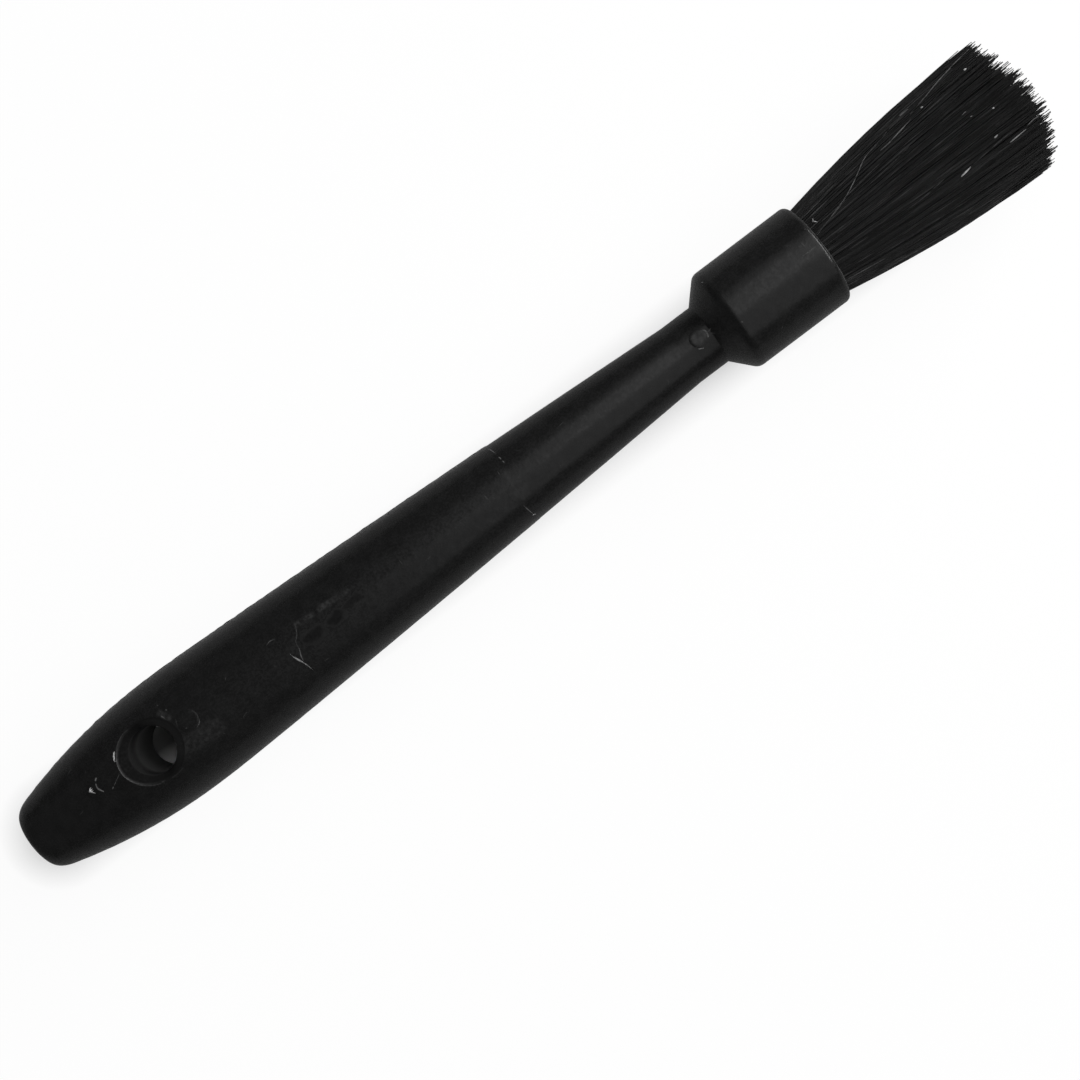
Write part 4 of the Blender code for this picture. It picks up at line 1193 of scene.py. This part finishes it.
    # Thickness, tint and skin.
    thin = addNode(tree, "ShaderNodeMapRange", {0: partSquare, 3: 1.0, 4: given["Tip Share"]})
    thinnest, thickest = habit["thickness"]
    own = addNode(tree, "ShaderNodeMapRange", {0: luck.outputs[1], 3: thinnest, 4: thickest})
    thick = addNode(tree, "ShaderNodeMath", {0: thin, 1: own}, operation="MULTIPLY")
    strandR = addNode(tree, "ShaderNodeMath", {0: thick, 1: given["Strand Radius"]}, operation="MULTIPLY")
    bright = addNode(tree, "ShaderNodeMath", {0: luck.outputs[2], 1: habit["tintCurve"]}, operation="POWER")
    faintest, palest = habit["tint"]
    shown = addNode(tree, "ShaderNodeMapRange", {0: bright, 3: faintest, 4: palest})
    start, full = habit["paleNear"]
    nearSide = addNode(tree, "ShaderNodeMapRange",
        {0: tipAt.outputs[1], 1: start, 2: full, 4: given["Side Tint"]})
    start, full = habit["paleFar"]
    farTint = addNode(tree, "ShaderNodeMapRange",
        {0: tipAt.outputs[1], 1: start, 2: full, 4: given["Far Tint"]})
    side = addNode(tree, "ShaderNodeMath", {0: nearSide, 1: farTint}, operation="ADD")
    glow = addNode(tree, "ShaderNodeMath", {0: shown, 1: side}, operation="ADD")
    seed = addNode(tree, "ShaderNodeMath", {0: strand, 1: 5.17}, operation="MULTIPLY")
    tinted = laid
    for name, value in (("strandTint", glow), ("strandSeed", seed)):
        stored = {"Geometry": tinted, "Name": name, "Value": value}
        tinted = addNode(tree, "GeometryNodeStoreNamedAttribute", stored, data_type="FLOAT", domain="POINT")
    circle = addNode(tree, "GeometryNodeCurvePrimitiveCircle",
        {"Resolution": habit["sides"], "Radius": 1.0})
    skin = addNode(tree, "GeometryNodeCurveToMesh",
        {"Curve": tinted, "Profile Curve": circle, "Scale": strandR, "Fill Caps": True})
    smooth = addNode(tree, "GeometryNodeSetShadeSmooth", {0: skin})
    endTree(tree, smooth, given["Material"])
    return tree


def makeTuft(layers, tree, firstSeed):
    for number, (name, layer) in enumerate(layers.items()):
        values = {**tuft, **layer, "Mouth": mouthX, "Axis Height": axisZ}
        values.update({"Seed": firstSeed + number, "Material": bristleMaterial})
        piece = growMesh(name, tree, values)
        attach(piece, "root")
        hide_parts("bristle_tuft")
        print("%s ready, %d faces" % (name, len(piece.data.polygons)))


makeTuft(tuftLayers, strandTree(strandHabit), strandHabit["seed"])

# Cotton lint and dust that lie on the tuft: thin, pale and matt, and so sheer that the black shows through.
lint = {
    "faint": "#161616",
    "pale": "#e0e0e0",
    "roughness": 0.5,
    "broken": 0.9 * mm,
    "ior": 1.49,
    "specular": 0.2,
}
lintSkin = {"step": 0.5 * mm, "reach": 3, "endShare": 0.35, "sides": 6}
# Points in millimetres from the butt and aside (towards -Y), half a width in millimetres, and how pale.
fibres = [
    ([(159.9, -1.8), (162.4, -2.5), (166.8, -3.8), (169.3, -4.9), (170.8, -5.7), (173.5, -7.1),
        (177.2, -7.9)], 0.08, 0.09),
    ([(177.2, -7.9), (179.9, -8.5), (183.3, -8.7)], 0.06, 0.05),
    ([(175.8, -6.4), (178.0, -6.6), (180.1, -7.0), (182.5, -7.4)], 0.11, 0.13),
    ([(183.2, -8.2), (186.7, -9.0), (190.7, -9.95), (194.6, -10.65), (197.6, -11.1)], 0.09, 0.10),
    ([(184.2, -7.35), (188.9, -8.0), (192.5, -8.6), (194.0, -8.6)], 0.06, 0.05),
    ([(182.9, 4.66), (183.9, 4.5), (185.0, 4.32)], 0.15, 0.45),
    ([(185.0, 4.32), (188.2, 4.05), (191.5, 3.85), (194.3, 3.9)], 0.06, 0.06),
    ([(192.0, 5.0), (195.2, 4.85)], 0.11, 0.22),
    ([(195.3, 4.6), (197.2, 4.3), (198.1, 4.5)], 0.09, 0.16),
    ([(182.0, -9.1), (183.7, -9.15)], 0.14, 0.10),
    ([(166.7, -3.84), (171.3, -4.44), (174.7, -4.8)], 0.06, 0.06),
    ([(170.7, -3.1), (176.0, -3.6), (180.6, -4.3)], 0.06, 0.05),
    ([(175.3, 3.7), (178.3, 3.55), (181.3, 3.25)], 0.06, 0.06),
    ([(159.7, -2.0), (163.9, -2.8), (167.0, -3.7)], 0.06, 0.05),
    ([(165.0, 8.45), (171.4, 9.5), (176.2, 10.1)], 0.06, 0.05),
    ([(178.3, 10.7), (180.6, 10.9), (182.8, 11.0)], 0.12, 0.10),
    ([(160.8, -3.9), (161.1, -4.4)], 0.14, 0.4),
    ([(160.9, -3.9), (161.3, -3.45)], 0.11, 0.35),
    ([(193.9, -8.6), (194.3, -8.5)], 0.18, 0.8),
    ([(192.7, -0.85), (193.0, -0.8)], 0.14, 0.5),
    ([(190.3, 3.0), (191.0, 2.9)], 0.14, 0.35),
    ([(184.9, -7.95), (185.3, -7.9)], 0.14, 0.45),
    ([(188.5, -2.9), (189.3, -3.0)], 0.10, 0.25),
    ([(189.4, -1.9), (189.7, -1.85)], 0.12, 0.25),
]


def fibreLine(under, plan, halfWidth, pale):  # a thin tube laid along what a ray from above meets
    route = smoothRoute([Vector(p) * mm for p in plan], lintSkin["step"])
    heights = []
    for along, aside in route:
        met, place, _, _ = under.ray_cast(Vector((buttX + along, -aside, 0.1)), Vector((0, 0, -1)))
        heights.append(place.z if met else axisZ)
    line = []
    for i, (along, aside) in enumerate(route):
        near = heights[max(0, i - lintSkin["reach"]) : i + lintSkin["reach"] + 1]
        height = (sum(near) / len(near) + max(near)) / 2
        swell = math.sin(math.pi * (i + 0.5) / len(route))
        radius = halfWidth * mm * (lintSkin["endShare"] + (1 - lintSkin["endShare"]) * swell)
        line.append((Vector((buttX + along, -aside, height)), radius, pale))
    return line


bpy.context.view_layer.update()
fibreLines = [fibreLine(bpy.data.objects["bristlesSkin"], *fibre) for fibre in fibres]
fibreValues = {"Sides": lintSkin["sides"], "Material": paleMaterial("cottonLint", lint)}
looseFibres = growMesh("looseFibres", linesTree, fibreValues, lineMesh("fibreLines", fibreLines))
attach(looseFibres, "root")
print("loose fibres ready, %d faces" % len(looseFibres.data.polygons))


# What the cup hides: the resin that the roots stand in, the wire round them, the plug under them and the
# adhesive that holds it. Depths are from the mouth.
knot = {
    "r": 8.05 * mm,
    "sliceDepth": 8.25 * mm,
    "sliceThick": 1.5 * mm,
    "sliceEdge": 0.3 * mm,
    "sliceHollow": 0.1 * mm,
    "plugDepth": 10.05 * mm,
    "plugThick": 4.5 * mm,
    "plugEdge": 0.6 * mm,
    "meniscus": 0.25 * mm,
    "bedDepth": 14.85 * mm,
    "bedThick": 0.8 * mm,
    "bedR": 7.45 * mm,
    "bedEdge": 0.38 * mm,
    "bedHollow": 0.05 * mm,
    "steps": 96,
}
wire = {"Depth": 4.5 * mm, "Thickness": 0.55 * mm, "Pitch": 0.9 * mm, "Turns": 3.0, "Outside": 8.05 * mm}
wirePoints = {"turn": 64, "round": 16}
# Cured epoxy resin is amber and glossy, with a faint cloud in it. Cured clear adhesive is milky and less
# glossy. Tinned steel wire is bright grey with duller stains.
resin = {"dark": "#6e5227", "light": "#9a7d4c", "cloud": 2.2 * mm, "roughness": 0.22, "ior": 1.55}
adhesive = {"dark": "#a49e88", "light": "#c0bba9", "cloud": 1.4 * mm, "roughness": 0.3, "ior": 1.5}
tin = {"dark": "#a3a3a0", "light": "#cfcfcf", "cloud": 0.7 * mm, "roughness": 0.34}


def cloudedMaterial(name, look, metallic=0.0):
    material, tree, shader = newMaterial(name)
    place = addNode(tree, "ShaderNodeTexCoord").outputs["Object"]
    cloud = addNode(tree, "ShaderNodeTexNoise",
        {"Vector": place, "Scale": 1 / look["cloud"], "Detail": 3.0})
    tone = addNode(tree, "ShaderNodeMix", {0: cloud, 6: colour(look["dark"]), 7: colour(look["light"])},
        data_type="RGBA")
    tree.links.new(tone.outputs[2], shader.inputs["Base Color"])
    rough = addNode(tree, "ShaderNodeMapRange",
        {0: cloud, 3: look["roughness"] - 0.1, 4: look["roughness"] + 0.1})
    tree.links.new(rough.outputs[0], shader.inputs["Roughness"])
    bump = addNode(tree, "ShaderNodeBump", {"Strength": 0.4, "Distance": 0.03 * mm, "Height": cloud})
    tree.links.new(bump.outputs[0], shader.inputs["Normal"])
    shader.inputs["Metallic"].default_value = metallic
    if "ior" in look:  # a metal keeps the default
        shader.inputs["IOR"].default_value = look["ior"]
    return material


def discProfile(top, thick, r, edge, hollow):  # (height from the mouth, radius), with rounded edges
    foot = -top - thick
    points = [(foot, 0.0), (foot, r * 0.5)]
    points += roundedCorner((foot, r), (foot, 0.0), (-top, r), edge, 6)
    points += roundedCorner((-top, r), (foot, r), (-top, 0.0), edge / 2, 4)
    for i in range(1, 7):
        share = 1 - i / 6
        points.append((-top - hollow * (1 - share**3), (r - edge / 2) * share))
    return points[::-1]


def makeDisc(name, points, material, node):
    values = {"Steps": knot["steps"], "Axis Height": axisZ, "Material": material}
    values.update({"Ridge Height": 0.0, "Ridge Width": 0.5 * mm})  # no ridge
    disc = growMesh(name, turnTree, values, profileMesh(name + "Profile", points, mouthX))
    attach(disc, "root")
    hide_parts(node)


def wireTree():  # turns of round wire about the axis, laid towards the butt
    inputs = [(n, "Float") for n in (*wire, "Mouth", "Axis Height")] + [("Material", "Material")]
    tree, given = newTree("woundWire", inputs)
    halfThick = addNode(tree, "ShaderNodeMath", {0: given["Thickness"], 1: 0.5}, operation="MULTIPLY")
    coilR = addNode(tree, "ShaderNodeMath", {0: given["Outside"], 1: halfThick}, operation="SUBTRACT")
    height = addNode(tree, "ShaderNodeMath", {0: given["Pitch"], 1: given["Turns"]}, operation="MULTIPLY")
    winding = {"Resolution": wirePoints["turn"], "Rotations": given["Turns"], "Height": height}
    coil = {**winding, "Start Radius": coilR, "End Radius": coilR}
    spiral = addNode(tree, "GeometryNodeCurveSpiral", coil)
    laid = addNode(tree, "GeometryNodeTransform",
        {"Geometry": spiral, "Rotation": (0.0, -math.pi / 2, 0.0)})
    firstTurn = addNode(tree, "ShaderNodeMath", {0: given["Mouth"], 1: given["Depth"]},
        operation="SUBTRACT")
    start = addNode(tree, "ShaderNodeMath", {0: firstTurn, 1: halfThick}, operation="SUBTRACT")
    lift = addNode(tree, "ShaderNodeCombineXYZ", {0: start, 2: given["Axis Height"]})
    placed = addNode(tree, "GeometryNodeTransform", {"Geometry": laid, "Translation": lift})
    circle = addNode(tree, "GeometryNodeCurvePrimitiveCircle",
        {"Resolution": wirePoints["round"], "Radius": halfThick})
    skin = addNode(tree, "GeometryNodeCurveToMesh",
        {"Curve": placed, "Profile Curve": circle, "Fill Caps": True})
    smooth = addNode(tree, "GeometryNodeSetShadeSmooth", {0: skin})
    endTree(tree, smooth, given["Material"])
    return tree


amberResin = cloudedMaterial("curedEpoxyResin", resin)
clearGlue = cloudedMaterial("curedClearAdhesive", adhesive)
tinnedSteel = cloudedMaterial("tinnedSteelWire", tin, metallic=1.0)

sliceEnds = (knot["sliceEdge"], knot["sliceHollow"])
slicePoints = discProfile(knot["sliceDepth"], knot["sliceThick"], knot["r"], *sliceEnds)
plugPoints = discProfile(knot["plugDepth"], knot["plugThick"], knot["r"], knot["plugEdge"],
    knot["meniscus"])
bedEnds = (knot["bedEdge"], knot["bedHollow"])
bedPoints = discProfile(knot["bedDepth"], knot["bedThick"], knot["bedR"], *bedEnds)
makeDisc("resinSlice", slicePoints, amberResin, "bristle_tuft")
makeDisc("resinPlug", plugPoints, amberResin, "resin_plug")
makeDisc("adhesiveBed", bedPoints, clearGlue, "adhesive_bed")
wireValues = {**wire, "Mouth": mouthX, "Axis Height": axisZ, "Material": tinnedSteel}
bindingWire = growMesh("bindingWire", wireTree(), wireValues)
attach(bindingWire, "root")
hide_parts("binding_wire")
print("resin, adhesive and wire ready")
